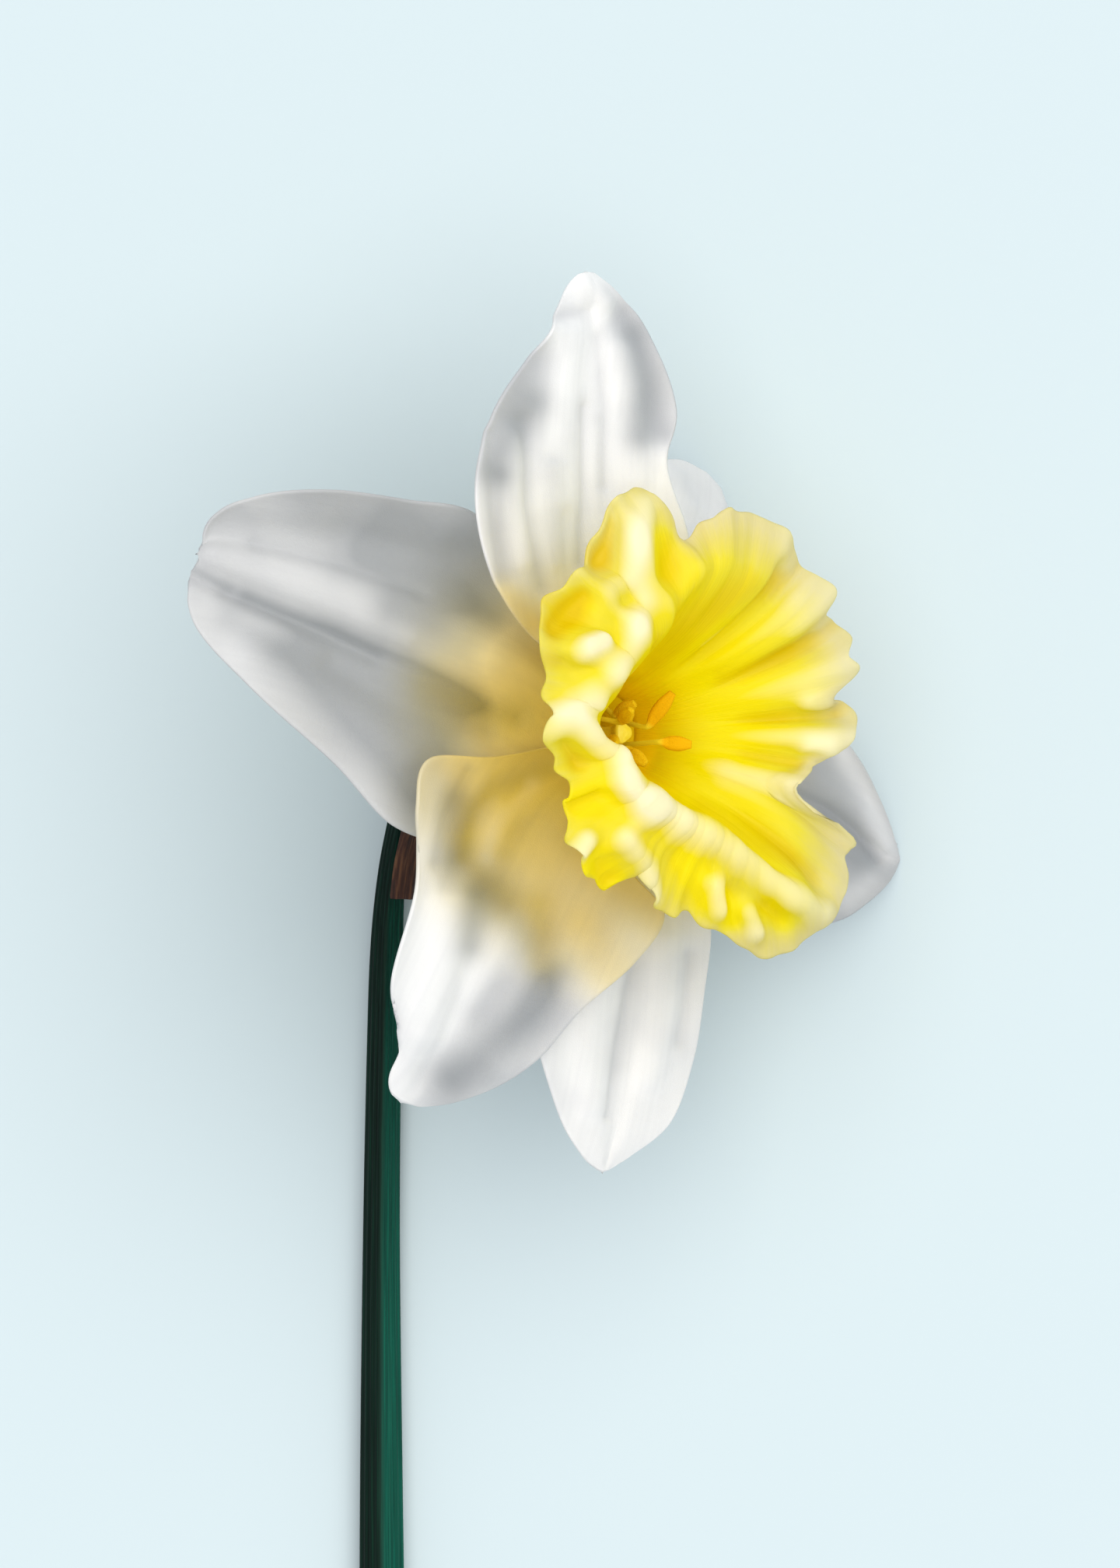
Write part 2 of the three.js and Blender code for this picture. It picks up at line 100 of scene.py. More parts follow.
# Camera. It looks straight down on the flower from 1.2 m above the bloom, with the stem running
# down the picture. A picture element covers 0.09 mm at the bloom's own height.
BLOOM = np.array([8.5, 63.4, 34.55])
VIEW_DISTANCE = 1200.0
VIEW_OFFSET = (-7.38, -5.94)
PICTURE_ELEMENT = 0.09
PICTURE_HEIGHT = 2016 * PICTURE_ELEMENT
SENSOR = 36.0

camera_data = bpy.data.cameras.new("camera")
camera_data.sensor_fit = "AUTO"
camera_data.sensor_width = SENSOR
camera_data.lens = SENSOR * VIEW_DISTANCE / PICTURE_HEIGHT
camera = bpy.data.objects.new("camera", camera_data)
camera.location = Vector((
    BLOOM[0] + VIEW_OFFSET[0], BLOOM[1] + VIEW_OFFSET[1], BLOOM[2] + VIEW_DISTANCE
)) * MM
bpy.context.scene.collection.objects.link(camera)
bpy.context.scene.camera = camera

# Tepals. Six blades of soft, juicy white tissue, about half a millimetre thick, grow from the
# tube's mouth: the outer three behind the inner three. Fine parallel veins and broad soft pleats
# run from base to tip, and the skin is satin and lets light through. A painted yellow glow, the
# light that comes through the cup, spreads out from the base, and painted shade greys them.
BLOOM_TILT = math.radians(44)
TAN, COS, SIN = math.tan(BLOOM_TILT), math.cos(BLOOM_TILT), math.sin(BLOOM_TILT)
TEPAL_BASE_RADIUS = 6.9
INNER_SEAT = -0.1
OUTER_SEAT = -1.2
TEPAL_ROWS = 150
TEPAL_COLUMNS = 84
RIB_WIDTH = 0.2
RIB_SPREAD = 0.5
RIB_THICKNESS = 0.72
MARGIN_THICKNESS = 0.42
TIP_ROUNDING = 0.06
TIP_NARROWING = 0.45
TIP_BLUNTNESS = 2.5
FRILL_HEIGHT = 0.22
FRILL_LEAN = 1.5
SMOOTH_BASE = 0.08
GLOW_LEAD = 8
TEPAL_WHITE = "#F6F6F8"
TEPAL_SHADE = "#CBCCD4"
TEPAL_GROOVE_SHADE = "#B6B7BE"
TEPAL_PAINTED_SHADE = "#999CA2"
TEPAL_THROUGH = "#F3F2EA"
TEPAL_PAINTED_GLOW = [(0.0, "#FFFFFF"), (0.35, "#FBF1CC"), (0.7, "#F8E39A"), (1.0, "#EED56E")]
TEPAL_GLOSS = {"Roughness": 0.46, "IOR": 1.42, "Sheen Weight": 0.12}
TEPAL_RELIEF = (0.22, 0.12)
TEPAL_LIGHT_THROUGH = 0.34
VEIN_SPACING = 0.9
VEIN_LENGTHENING = 20
CELL_SIZE = 0.16
CLOUD_SIZE = 9
PATTERN_STEP = 7.0

# Each row is one margin x, y, the midrib x, y and forward, and the other margin x, y, in
# millimetres from the bloom's centre as seen from above. seat is the base's first, middle and last
# azimuth on the tube, and its place along the bloom's axis. cup is how far the margins stand
# forward, rib how far the midrib does, and frill the waves along a margin and their phase. A
# painted yellow glow, the light that comes through the cup, has the distance from the bloom's
# centre where it fades, the one where it ends, and its strength. Each fold is a height, a width,
# and the x, y of two or more points of the line that it follows. Painted shade greys the whole
# tepal by its own amount and more along lines of the same kind, and lines of that kind also add
# painted glow, or take some away.
TEPALS = {
    "top_tepal": {
        "node": "tepal_inner_1", "seat": (70, 95, 120, INNER_SEAT), "cup": 2.5, "rib": -0.7,
        "frill": (5, 0.4), "painted_cup_glow": (14, 25, 0.75), "painted_shade": 0,
        "painted_glow_lines": [(0.35, 1.8, -13.9, 15.9, -10.8, 12.6)],
        "rows": [
            (6.5, 13, -2, 14, 0.6, -11, 11.4), (7.5, 22, -4, 22, 0.4, -15.8, 20),
            (4.9, 31, -5, 30.5, -0.6, -16.8, 29.6), (6.2, 37.6, -4.6, 38, -2, -13.7, 37.6),
            (4, 44.6, -4, 45.4, -3.2, -9.2, 44.4), (1.4, 49.2, -4, 50, -4.2, -7.7, 48.6),
            (-3, 52.9, -4.7, 53.1, -4.8, -6.6, 52.2),
        ],
        "folds": [
            (-0.42, 0.8, -4.9, 37.6, -4.9, 25.8, -5.1, 19.5),
            (-0.35, 0.9, -3, 45.8, -2.2, 37.6, -2.3, 28.5),
            (0.5, 1.6, -6.7, 45.8, -6.9, 35.8, -7.2, 26.7),
            (-0.42, 1, -11.1, 35.8, -11.1, 25.8, -9.4, 16.7),
            (0.45, 1, -12.8, 34, -12.8, 26.7, -11.6, 19.5), (0.4, 0.9, -8.7, 30.3, -8, 19.5),
            (-0.45, 1, -15.2, 34, -15, 25.8, -13.8, 17.6), (-0.9, 2.8, -10.1, 42.6, -13, 36.2),
            (-0.9, 2.4, 0.4, 48.5, 3.8, 42.1, 4.5, 35.8), (0.6, 1.8, 0, 44, 1.1, 34, 1.5, 29.4),
            (1, 1.6, -5.1, 51.9, -2.7, 49.8), (-0.35, 0.9, -7.4, 48.1, -4.3, 49),
        ],
        "painted_shade_lines": [
            (0.78, 2.3, -10.8, 37.8, -13.1, 34.4, -15.1, 29.9),
            (0.35, 1.5, -13.9, 29, -14.4, 22.7, -13.7, 18.6),
            (0.8, 2.3, 1.3, 45.6, 2.3, 40.2, 1.9, 34.4), (0.3, 1.6, -1.8, 50.9, 0.9, 47.4),
            (0.15, 0.8, -3.1, 36.2, -2.7, 22.7), (0.3, 1.2, -8.6, 30.8, -8.1, 20),
        ],
    },
    "left_tepal": {
        "node": "tepal_outer_1", "seat": (133, 157, 184, OUTER_SEAT), "cup": 2, "rib": 1.2,
        "frill": (4, 1.3), "painted_cup_glow": (13, 30, 0.85), "painted_shade": 0.4,
        "rows": [
            (-10, 15, -10.5, 7.2, -2.6, -12.5, -4), (-16.5, 24.5, -16.5, 10.2, -4.6, -19.5, -11.5),
            (-25, 26.4, -24.3, 13.2, -8, -26.3, -10.6), (-35, 27.5, -32.6, 16.2, -12, -33.2, -3.4),
            (-42.4, 26.8, -40.5, 18.8, -15.6, -42, 4.6),
            (-46.8, 24.4, -46.4, 20.2, -18.4, -48.3, 11.4),
            (-48.4, 21.4, -48.4, 20, -19.4, -50.1, 16.6),
        ],
        "folds": [
            (-0.6, 1.1, -49.5, 17.8, -43.2, 15.1, -35.9, 12, -28.6, 8.6),
            (-0.5, 1.4, -45, 15.8, -35.9, 12, -28.6, 8.6, -12.3, 1.8),
            (0.6, 1.6, -48.4, 20.2, -41.3, 17.6, -34.1, 14.7, -25, 10.8),
            (-0.9, 3.2, -31.4, 23.5, -23.2, 21.3, -16.9, 17.2),
            (0.5, 2, -42.3, 25.8, -31.4, 24.7, -21.4, 22.2),
            (0.6, 2.2, -42.3, 9, -33.2, 3.6, -25, -2.8),
            (-0.6, 1.8, -33.2, 7.7, -25, 3.1, -16, 0.4),
            (-0.35, 0.9, -42.3, 21.3, -33.2, 19.3, -23.2, 15.8),
        ],
        "painted_shade_lines": [
            (0.35, 5, -34.4, 25.4, -25.4, 23.1, -18.2, 18.2),
            (0.65, 2.2, -29.2, 20.7, -21.8, 17.1, -15.3, 13), (0.4, 2.6, -26.7, 13.7, -18.2, 10.4),
            (0.25, 2, -45.2, 12.8, -40.2, 9.6), (0.15, 6, -45.2, 21.8, -40.7, 27.2),
            (0.35, 2.4, -20.4, -0.7, -22.2, -6.1), (0.65, 4.4, -36.2, 8.3, -30.8, 2, -23.1, -6.1),
            (0.3, 0.7, -49.1, 18.5, -45.2, 16.4),
            (0.55, 1.1, -43.2, 15.2, -35.8, 11.7, -29.9, 8.7, -16.4, 2.9),
            (0.85, 2.5, -33.5, 9.4, -25.2, 6.7, -18.6, 3.5), (0.3, 3, -26.7, 24.7, -18.2, 22.2),
            (0.2, 2.5, -32.6, 18.6, -21.8, 13.7), (0.4, 2.4, -28.1, 3.8, -23.6, 1.1),
            (-0.7, 6, -13.2, 10.1, -10.1, 1.1),
        ],
        "painted_glow_lines": [
            (0.1, 6, -18.2, 12.8, -13.7, 8.3, -10.1, 3.8), (0.3, 4, -21.3, 5.1, -14.6, 1.1),
        ],
    },
    "lower_left_tepal": {
        "node": "tepal_inner_2", "seat": (188, 213, 238, INNER_SEAT), "cup": 2.2, "rib": -0.8,
        "frill": (5, 2.2), "painted_cup_glow": (20, 33, 1), "painted_shade": 0,
        "rows": [
            (-14.5, -2.9, -9.5, -8.5, -0.2, 0.5, -15.5), (-22.2, -3.2, -13, -15, -0.8, 4.6, -21),
            (-23.6, -8.5, -16, -22, -2, 1.2, -26.6), (-23.7, -17.7, -19, -28.5, -3.6, -5, -32),
            (-26.5, -28.6, -21.5, -34.5, -5.6, -10.2, -37.8),
            (-25.4, -35, -23.5, -39.5, -7.4, -15.8, -41.2),
            (-27.4, -40.4, -25.4, -42.2, -8.6, -22.2, -43.2),
        ],
        "folds": [
            (-0.45, 1.6, -19.9, -18.2, -18.5, -11.8, -14.9, -6.7, -8.7, -4.6),
            (0.5, 1.8, -15.8, -15, -13.2, -9.6, -8.2, -6.8),
            (-0.4, 1, -17.8, -4.6, -20.3, -9.6, -21.4, -15),
            (-0.4, 2.2, -8.7, -23, -12.8, -27.7, -16.1, -32.4),
            (-0.3, 2.4, -14.1, -29.7, -21.4, -39.5),
            (0.8, 2.4, -19.8, -20.5, -21.2, -27.7, -22.8, -34.1),
            (0.25, 1.8, -8.2, -26.8, -12, -33.2, -16, -38.6),
            (-0.3, 3, -17.8, -16.8, -14.1, -19.1, -9.6, -19.5),
        ],
        "painted_shade_lines": [
            (0.6, 1.9, -17.6, -18.7, -17.9, -24.3),
            (0.5, 2.4, -18.4, -14.7, -15.9, -17.4, -14.1, -19.6), (0.35, 3, -22, -3.9, -20.7, -7.9),
            (0.5, 2, -19.1, -7.9, -20, -14.2), (0.45, 2.4, -11.7, -22.8, -8.1, -26.8),
            (0.8, 2.8, -9.9, -29.3, -12.1, -32.2, -16.9, -37.2, -20, -39.1),
            (0.45, 3.4, -8.5, -32.2, -12.8, -39.9, -20.9, -43),
            (0.22, 3.2, -15.5, -10.6, -14.6, -18.7),
        ],
        "painted_glow_lines": [
            (-0.2, 3, -8.1, -11.5, -4.9, -17.8, 0.3, -22.3), (0.25, 3.6, -5.1, -22.8, -1.1, -29.1),
            (0.25, 2.2, -18.2, -12.4, -16.6, -16.5, -13.9, -19.2),
            (0.3, 2, -10.1, -20.1, -9.5, -26.4), (0.22, 1.6, -12.8, -6.6, -14.4, -13.3),
            (-0.12, 1.6, -21.2, -6.1, -21.8, -13.3),
            (0.18, 0.9, -14.6, -5.4, -17.6, -8.8, -18.7, -14.2),
            (-0.25, 1.2, -11, -6.1, -14.6, -10.6, -15.9, -14.2),
        ],
    },
    "bottom_tepal": {
        "node": "tepal_outer_2", "seat": (247, 272, 297, OUTER_SEAT), "cup": 0, "rib": -0.8,
        "frill": (4, 0.9), "painted_cup_glow": (16, 28, 0.8), "painted_shade": 0.04,
        "painted_shade_lines": [(0.15, 1.5, 1.2, -27.7, -1.1, -38.5)], "painted_glow_lines": [],
        "rows": [
            (-8.5, -14.5, 0.8, -15, -2.4, 9, -13.5), (-11.3, -24, 1.2, -23, -3.8, 10.2, -22.5),
            (-10.9, -32, 0.8, -31, -4.8, 9.4, -30.5), (-9.4, -38, 0, -38.5, -5.4, 8.2, -38),
            (-7.1, -45, -1, -45, -5.6, 5.5, -45.4), (-4.7, -49.1, -2, -49.3, -5.6, 0.7, -49.3),
            (-3.4, -50.5, -2.4, -50.9, -5.6, -1.4, -50.6),
        ],
        "folds": [
            (-0.4, 0.7, 1.7, -23.2, 0.4, -29.5, -0.9, -36.8, -2, -44.5),
            (0.5, 1.6, -3.1, -28.6, -4.5, -35.9, -4, -43.1),
            (0.5, 1.6, 4.9, -24.1, 4.9, -32.2, 2.9, -40.4), (-0.35, 1, 7.8, -25.9, 6.5, -35.9),
        ],
    },
    "right_tepal": {
        "node": "tepal_inner_3", "seat": (313, 338, 3, INNER_SEAT), "cup": 1.5, "rib": -0.6,
        "frill": (3, 0.2), "painted_cup_glow": (13, 24, 0.6), "painted_shade": 0.8, "painted_glow_lines": [],
        "rows": [
            (9.5, -13, 11, -5, 0.2, 13, 3.5), (15, -19, 17, -7.5, 0, 19, 3.6),
            (20.6, -22.4, 22.4, -9.8, -0.2, 24.2, 1.2), (25.8, -21.8, 26.8, -11.8, -0.6, 28, -3.2),
            (29.4, -19.6, 30, -13.4, -1.2, 30.6, -8), (31.8, -17.4, 32.1, -14.8, -1.6, 32.2, -12),
            (32.7, -15.6, 32.8, -14.9, -1.8, 32.7, -14.2),
        ],
        "folds": [
            (-0.7, 0.9, 19.4, -6.8, 24, -8.7, 27.6, -11.4, 30.3, -14.8),
            (0.5, 1.3, 22.1, -4.9, 27.6, -8.7, 30.8, -13.2),
        ],
        "painted_shade_lines": [
            (0.25, 2, 23.2, -10.6, 28.6, -15.1), (-0.5, 1.6, 25.9, -2.1, 29.1, -7.9, 31.5, -14.2),
            (-0.3, 1.6, 29.1, -17.4, 26.4, -19.6),
        ],
    },
    "upper_right_tepal": {
        "node": "tepal_outer_3", "seat": (13, 38, 63, OUTER_SEAT), "cup": 1, "rib": 0.5,
        "frill": (3, 1.7), "painted_cup_glow": (12, 22, 0.6), "painted_shade": 0, "painted_shade_lines": [], "painted_glow_lines": [],
        "rows": [
            (10.5, 3, 6.4, 9.2, -3, 1.5, 14.5), (14.5, 4, 8.6, 13.5, -5.5, 1.5, 21),
            (16.8, 6.5, 10.3, 18.2, -8.5, 2.2, 27), (17.5, 11, 11.3, 22.4, -11.4, 3.6, 31.2),
            (16.2, 17, 11.8, 25.8, -13.8, 6.4, 32.3), (14, 22.5, 11.7, 28, -15.4, 9.4, 31.2),
            (12.2, 27, 11.5, 29, -16.2, 10.6, 30.2),
        ],
        "folds": [
            (0.4, 1.4, 6, 29.8, 7.6, 26.7),
        ],
    },
}


def on_plane(x, y, forward):
    """Points seen at x, y from above and so far forward of the plane that the tepals spread in."""
    height = BLOOM[2] - x * TAN + forward / COS
    return np.stack(np.broadcast_arrays(x + BLOOM[0], y + BLOOM[1], height), axis=-1)


def cubic(p0, p1, p2, p3, f):
    """The smooth step from p1 to p2 between its two neighbours."""
    square = 2 * p0 - 5 * p1 + 4 * p2 - p3
    cube = 3 * p1 - p0 - 3 * p2 + p3
    return 0.5 * (2 * p1 + (p2 - p0) * f + square * f**2 + cube * f**3)


def through(rows, t):
    """Smooth values at t from 0 to 1 through evenly spaced rows."""
    rows = np.asarray(rows, float)
    last = len(rows) - 1
    longer = np.vstack([2 * rows[0] - rows[1], rows, 2 * rows[-1] - rows[-2]])
    place = np.clip(t, 0, 1) * last
    i = np.minimum(place.astype(int), last - 1)
    return cubic(*(longer[i + k] for k in range(4)), (place - i)[..., None])


def ease(low, high, value):
    """0 below low, 1 above high and a smooth rise between them."""
    part = np.clip((value - low) / (high - low), 0, 1)
    return part * part * (3 - 2 * part)


def folded(points, folds):
    """How far folds that follow lines seen from above raise each point, in millimetres."""
    x, y = points[..., 0] - BLOOM[0], points[..., 1] - BLOOM[1]
    raised = np.zeros(x.shape)
    for height, width, *line in folds:
        nearest = np.full(x.shape, np.inf)
        ends = list(zip(line[::2], line[1::2]))
        for (x0, y0), (x1, y1) in zip(ends, ends[1:]):
            dx, dy = x1 - x0, y1 - y0
            part = np.clip(((x - x0) * dx + (y - y0) * dy) / (dx * dx + dy * dy), 0, 1)
            nearest = np.minimum(nearest, np.hypot(x - x0 - part * dx, y - y0 - part * dy))
        raised += height * np.exp(-((nearest / width) ** 2))
    return raised


def facing(points, closed):
    """Unit normals of a grid of points. A closed grid joins its last column to its first."""
    along = np.gradient(points, axis=0)
    if closed:
        sideways = np.roll(points, -1, axis=1) - np.roll(points, 1, axis=1)
    else:
        sideways = np.gradient(points, axis=1)
    normals = np.cross(along, sideways)
    return normals / np.linalg.norm(normals, axis=-1, keepdims=True)


def outline(grid):
    """The vertices round an open grid's edge, in order."""
    return np.concatenate([grid[0], grid[1:, -1], grid[-1, -2::-1], grid[-2:0:-1, 0]])


def blade(points, thickness, closed=False):
    """Vertices, faces and each vertex's place in the grid for a sheet with round margins."""
    rows, columns = points.shape[:2]
    normals = facing(points, closed)
    half_thickness = (thickness / 2)[..., None]
    front = (points + normals * half_thickness).reshape(-1, 3)
    back = (points - normals * half_thickness).reshape(-1, 3)
    grid = np.arange(rows * columns).reshape(rows, columns)
    if closed:
        ahead = np.roll(grid, -1, axis=1)
        corners = [grid[:-1], grid[1:], ahead[1:], ahead[:-1]]
        loops = [(grid[0], grid[1]), (grid[-1], grid[-2])]
    else:
        corners = [grid[:-1, :-1], grid[1:, :-1], grid[1:, 1:], grid[:-1, 1:]]
        inside = grid.copy()
        inside[0], inside[-1] = grid[1], grid[-2]
        inside[:, 0], inside[:, -1] = inside[:, 1], inside[:, -2]
        loops = [(outline(grid), outline(inside))]
    quads = np.stack(corners, axis=-1).reshape(-1, 4)
    flat, flat_normals = points.reshape(-1, 3), normals.reshape(-1, 3)
    flat_half = half_thickness.reshape(-1, 1)
    vertices, source = [front, back], [grid.ravel(), grid.ravel()]
    faces = [quads, quads[:, ::-1] + len(front)]
    count = 2 * len(front)
    for loop, inner in loops:
        outward = flat[loop] - flat[inner]
        outward -= flat_normals[loop] * np.sum(outward * flat_normals[loop], axis=1, keepdims=True)
        outward /= np.linalg.norm(outward, axis=1, keepdims=True)
        vertices.append(flat[loop] + outward * flat_half[loop])
        source.append(loop)
        middle = count + np.arange(len(loop))
        following = np.roll(loop, -1)
        after = np.roll(middle, -1)
        faces.append(np.stack([loop, following, after, middle], axis=-1))
        faces.append(np.stack([middle, after, following + len(front), loop + len(front)], axis=-1))
        count += len(loop)
    return np.concatenate(vertices), np.concatenate(faces).tolist(), np.concatenate(source)


def shape(name, vertices, faces, skin, values=None):
    """A smooth mesh object in the scene, from millimetres, with named values at its vertices."""
    mesh = bpy.data.meshes.new(name)
    mesh.from_pydata((vertices * MM).tolist(), [], faces)
    turned = bmesh.new()
    turned.from_mesh(mesh)
    bmesh.ops.recalc_face_normals(turned, faces=turned.faces)
    turned.to_mesh(mesh)
    turned.free()
    for label, data in (values or {}).items():
        kind, field = ("FLOAT", "value") if data.ndim == 1 else ("FLOAT_VECTOR", "vector")
        mesh.attributes.new(label, kind, "POINT").data.foreach_set(field, data.ravel())
    mesh.polygons.foreach_set("use_smooth", [True] * len(mesh.polygons))
    mesh.materials.append(skin)
    made = bpy.data.objects.new(name, mesh)
    bpy.context.scene.collection.objects.link(made)
    return made


def measured(points):
    """Millimetres along the middle column, and across it to each side."""
    steps = np.linalg.norm(np.diff(points, axis=0), axis=-1)
    along = np.vstack([np.zeros(points.shape[1]), np.cumsum(steps, axis=0)])
    widths = np.linalg.norm(np.diff(points, axis=1), axis=-1)
    across = np.hstack([np.zeros((len(points), 1)), np.cumsum(widths, axis=1)])
    middle = points.shape[1] // 2
    return along[:, middle : middle + 1] + 0 * along, across - across[:, middle : middle + 1]


def tepal_points(spec):
    """The middle surface of one tepal as a grid, and how far its folds raise it."""
    first, middle, second, forward = spec["seat"]
    on_tube = [
        (
            TEPAL_BASE_RADIUS * math.cos(math.radians(a)) * COS + forward * SIN,
            TEPAL_BASE_RADIUS * math.sin(math.radians(a)),
        )
        for a in (first, middle, second)
    ]
    seat = (*on_tube[0], *on_tube[1], forward, *on_tube[2])
    u = np.linspace(0, 1, TEPAL_ROWS + 1)[:, None]
    v = np.linspace(-1, 1, TEPAL_COLUMNS + 1)[None, :]
    at_tip = np.clip((u - 1 + TIP_ROUNDING) / TIP_ROUNDING, 0, 1)
    side = v * (1 - TIP_NARROWING * at_tip**TIP_BLUNTNESS)
    ax, ay, mx, my, out, bx, by = np.moveaxis(through([seat, *spec["rows"]], u + 0 * v), -1, 0)
    x = mx + side * (bx - ax) / 2 + side**2 * ((ax + bx) / 2 - mx)
    y = my + side * (by - ay) / 2 + side**2 * ((ay + by) / 2 - my)
    swell = np.sin(np.pi * u)
    ridge = spec["rib"] * np.exp(-((side / RIB_WIDTH) ** 2))
    waves, phase = spec["frill"]
    frill = np.sin(2 * np.pi * waves * u + phase + FRILL_LEAN * side)
    frill = FRILL_HEIGHT * np.abs(side) ** 3 * frill
    points = on_plane(x, y, out + swell * (spec["cup"] * side**2 + ridge + frill))
    return points, folded(points, spec["folds"]) * ease(0, SMOOTH_BASE, u), side


def node(tree, kind, inputs=None, out=0, stops=None, **settings):
    """Adds a node with its settings, inputs' values, hex colours or links, and its ramp's stops,
    and gives one of its outputs."""
    made = tree.nodes.new("ShaderNode" + kind)
    for name, value in settings.items():
        setattr(made, name, value)
    for name, value in (inputs or {}).items():
        if isinstance(value, bpy.types.NodeSocket):
            tree.links.new(value, made.inputs[name])
        else:
            made.inputs[name].default_value = colour(value) if isinstance(value, str) else value
    if stops:
        ramp = made.color_ramp.elements
        while len(ramp) < len(stops):
            ramp.new(1.0)
        for element, (position, code) in zip(ramp, stops):
            element.position = position
            element.color = colour(code)
    return made.outputs[out]


def finish(tree, skin, tone, pattern, relief, gloss, share=0, tone_through=None):
    """Gives a skin its colour, a pattern's relief by strength and millimetres, and its gloss on the
    shader's own sockets. A thin skin lets a share of the light through, in a tone of its own."""
    strength, height = relief
    bump = node(tree, "Bump", {"Height": pattern, "Strength": strength, "Distance": height * MM})
    for name, value in gloss.items():
        skin.inputs[name].default_value = value
    tree.links.new(tone, skin.inputs["Base Color"])
    tree.links.new(bump, skin.inputs["Normal"])
    if share:
        glow = node(tree, "BsdfTranslucent", {"Color": tone_through, "Normal": bump})
        mixed = node(tree, "MixShader", {0: share, 1: skin.outputs[0], 2: glow})
        tree.links.new(mixed, tree.nodes["Material Output"].inputs["Surface"])


# White petal tissue, grown with a thin wax over domed cells: it scatters light softly, has a satin
# shine where it bends, and lets a third of the light through.
# Painted on it: shade in its grooves and shaded places, and a yellow glow near its base that stands
# for the light coming through the cup.
tepal_skin, tree, skin = material("white_tepal_skin")
grain = node(tree, "Attribute", out="Vector", attribute_name="grain")
painted_fold_shading = node(tree, "Attribute", out="Fac", attribute_name="painted_fold_shading")
painted_cup_glow = node(tree, "Attribute", out="Fac", attribute_name="painted_cup_glow")
painted_shade_share = node(tree, "Attribute", out="Fac", attribute_name="painted_shade")
# Veins about a millimetre apart run the length of the blade: the noise is drawn out along it.
drawn_out = node(tree, "Mapping", {"Vector": grain, "Scale": (1, 1 / VEIN_LENGTHENING, 1)})
veins = node(
    tree, "TexNoise",
    {"Vector": drawn_out, "Scale": 1 / VEIN_SPACING, "Detail": 2.0, "Roughness": 0.5},
)
# The skin's cells give the satin its fine sparkle. They measure about 0.04 mm, which is too fine to
# show, so they are drawn four times as coarse.
cells = node(tree, "TexNoise", {"Vector": grain, "Scale": 1 / CELL_SIZE, "Detail": 1.0})
clouds = node(tree, "TexNoise", {"Vector": grain, "Scale": 1 / CLOUD_SIZE, "Detail": 2.0})
# The white darkens in soft clouds and between the veins, and painted shade darkens it in the folds'
# grooves and over each tepal's shaded places. Each has the values from which and to which it
# darkens, how much, and into what.
tone = TEPAL_WHITE
for value, low, high, most, darker in (
    (clouds, 0.45, 0.75, 0.35, TEPAL_SHADE),
    (veins, 0.42, 0.72, 0.14, TEPAL_SHADE),
    (painted_fold_shading, 0.1, -1.1, 1.0, TEPAL_GROOVE_SHADE),
    (painted_shade_share, 0.0, 1.0, 1.0, TEPAL_PAINTED_SHADE),
):
    share = node(
        tree, "MapRange", {"Value": value, "From Min": low, "From Max": high, "To Max": most}
    )
    tone = node(tree, "Mix", {"Factor": share, 6: tone, 7: darker}, 2, data_type="RGBA")
# A painted yellow glow, the light that comes through the cup, tints both the white and the light
# that passes through it.
painted_glow_tone = node(tree, "ValToRGB", {"Fac": painted_cup_glow}, stops=TEPAL_PAINTED_GLOW)
tone, tone_through = [
    node(
        tree, "Mix", {"Factor": 1.0, 6: without_glow, 7: painted_glow_tone}, 2,
        data_type="RGBA", blend_type="MULTIPLY",
    )
    for without_glow in (tone, TEPAL_THROUGH)
]
surface = node(tree, "Math", {0: veins, 1: cells}, operation="ADD")
finish(tree, skin, tone, surface, TEPAL_RELIEF, TEPAL_GLOSS, TEPAL_LIGHT_THROUGH, tone_through)

for name, spec in TEPALS.items():
    points, raised, side = tepal_points(spec)
    along, across = measured(points)
    points = points + facing(points, False) * raised[..., None]
    rib = np.exp(-((side / RIB_SPREAD) ** 2))
    thickness = MARGIN_THICKNESS + (RIB_THICKNESS - MARGIN_THICKNESS) * rib
    vertices, faces, source = blade(points, thickness)
    # The painted yellow glow of light through the cup fades with the distance from the bloom's
    # centre.
    near, far, strength = spec["painted_cup_glow"]
    reach = np.hypot(points[..., 0] - BLOOM[0], points[..., 1] - BLOOM[1])
    painted_glow = strength * (1 - ease(near - GLOW_LEAD, far, reach)) + folded(points, spec["painted_glow_lines"])
    apart = np.full(across.shape, PATTERN_STEP * len(name))
    values = {
        "grain": np.stack([across, along, apart], axis=-1).reshape(-1, 3)[source],
        # The folds' heights also mark the grooves that painted shade darkens.
        "painted_fold_shading": raised.ravel()[source],
        "painted_cup_glow": painted_glow.ravel()[source],
        # Painted shade: how much each place is greyed as if it lay in shade.
        "painted_shade": (spec["painted_shade"] + folded(points, spec["painted_shade_lines"])).ravel()[source],
    }
    tepal = shape(name, vertices, faces, tepal_skin, values)
    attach(tepal, "root")
    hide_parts(spec["node"])

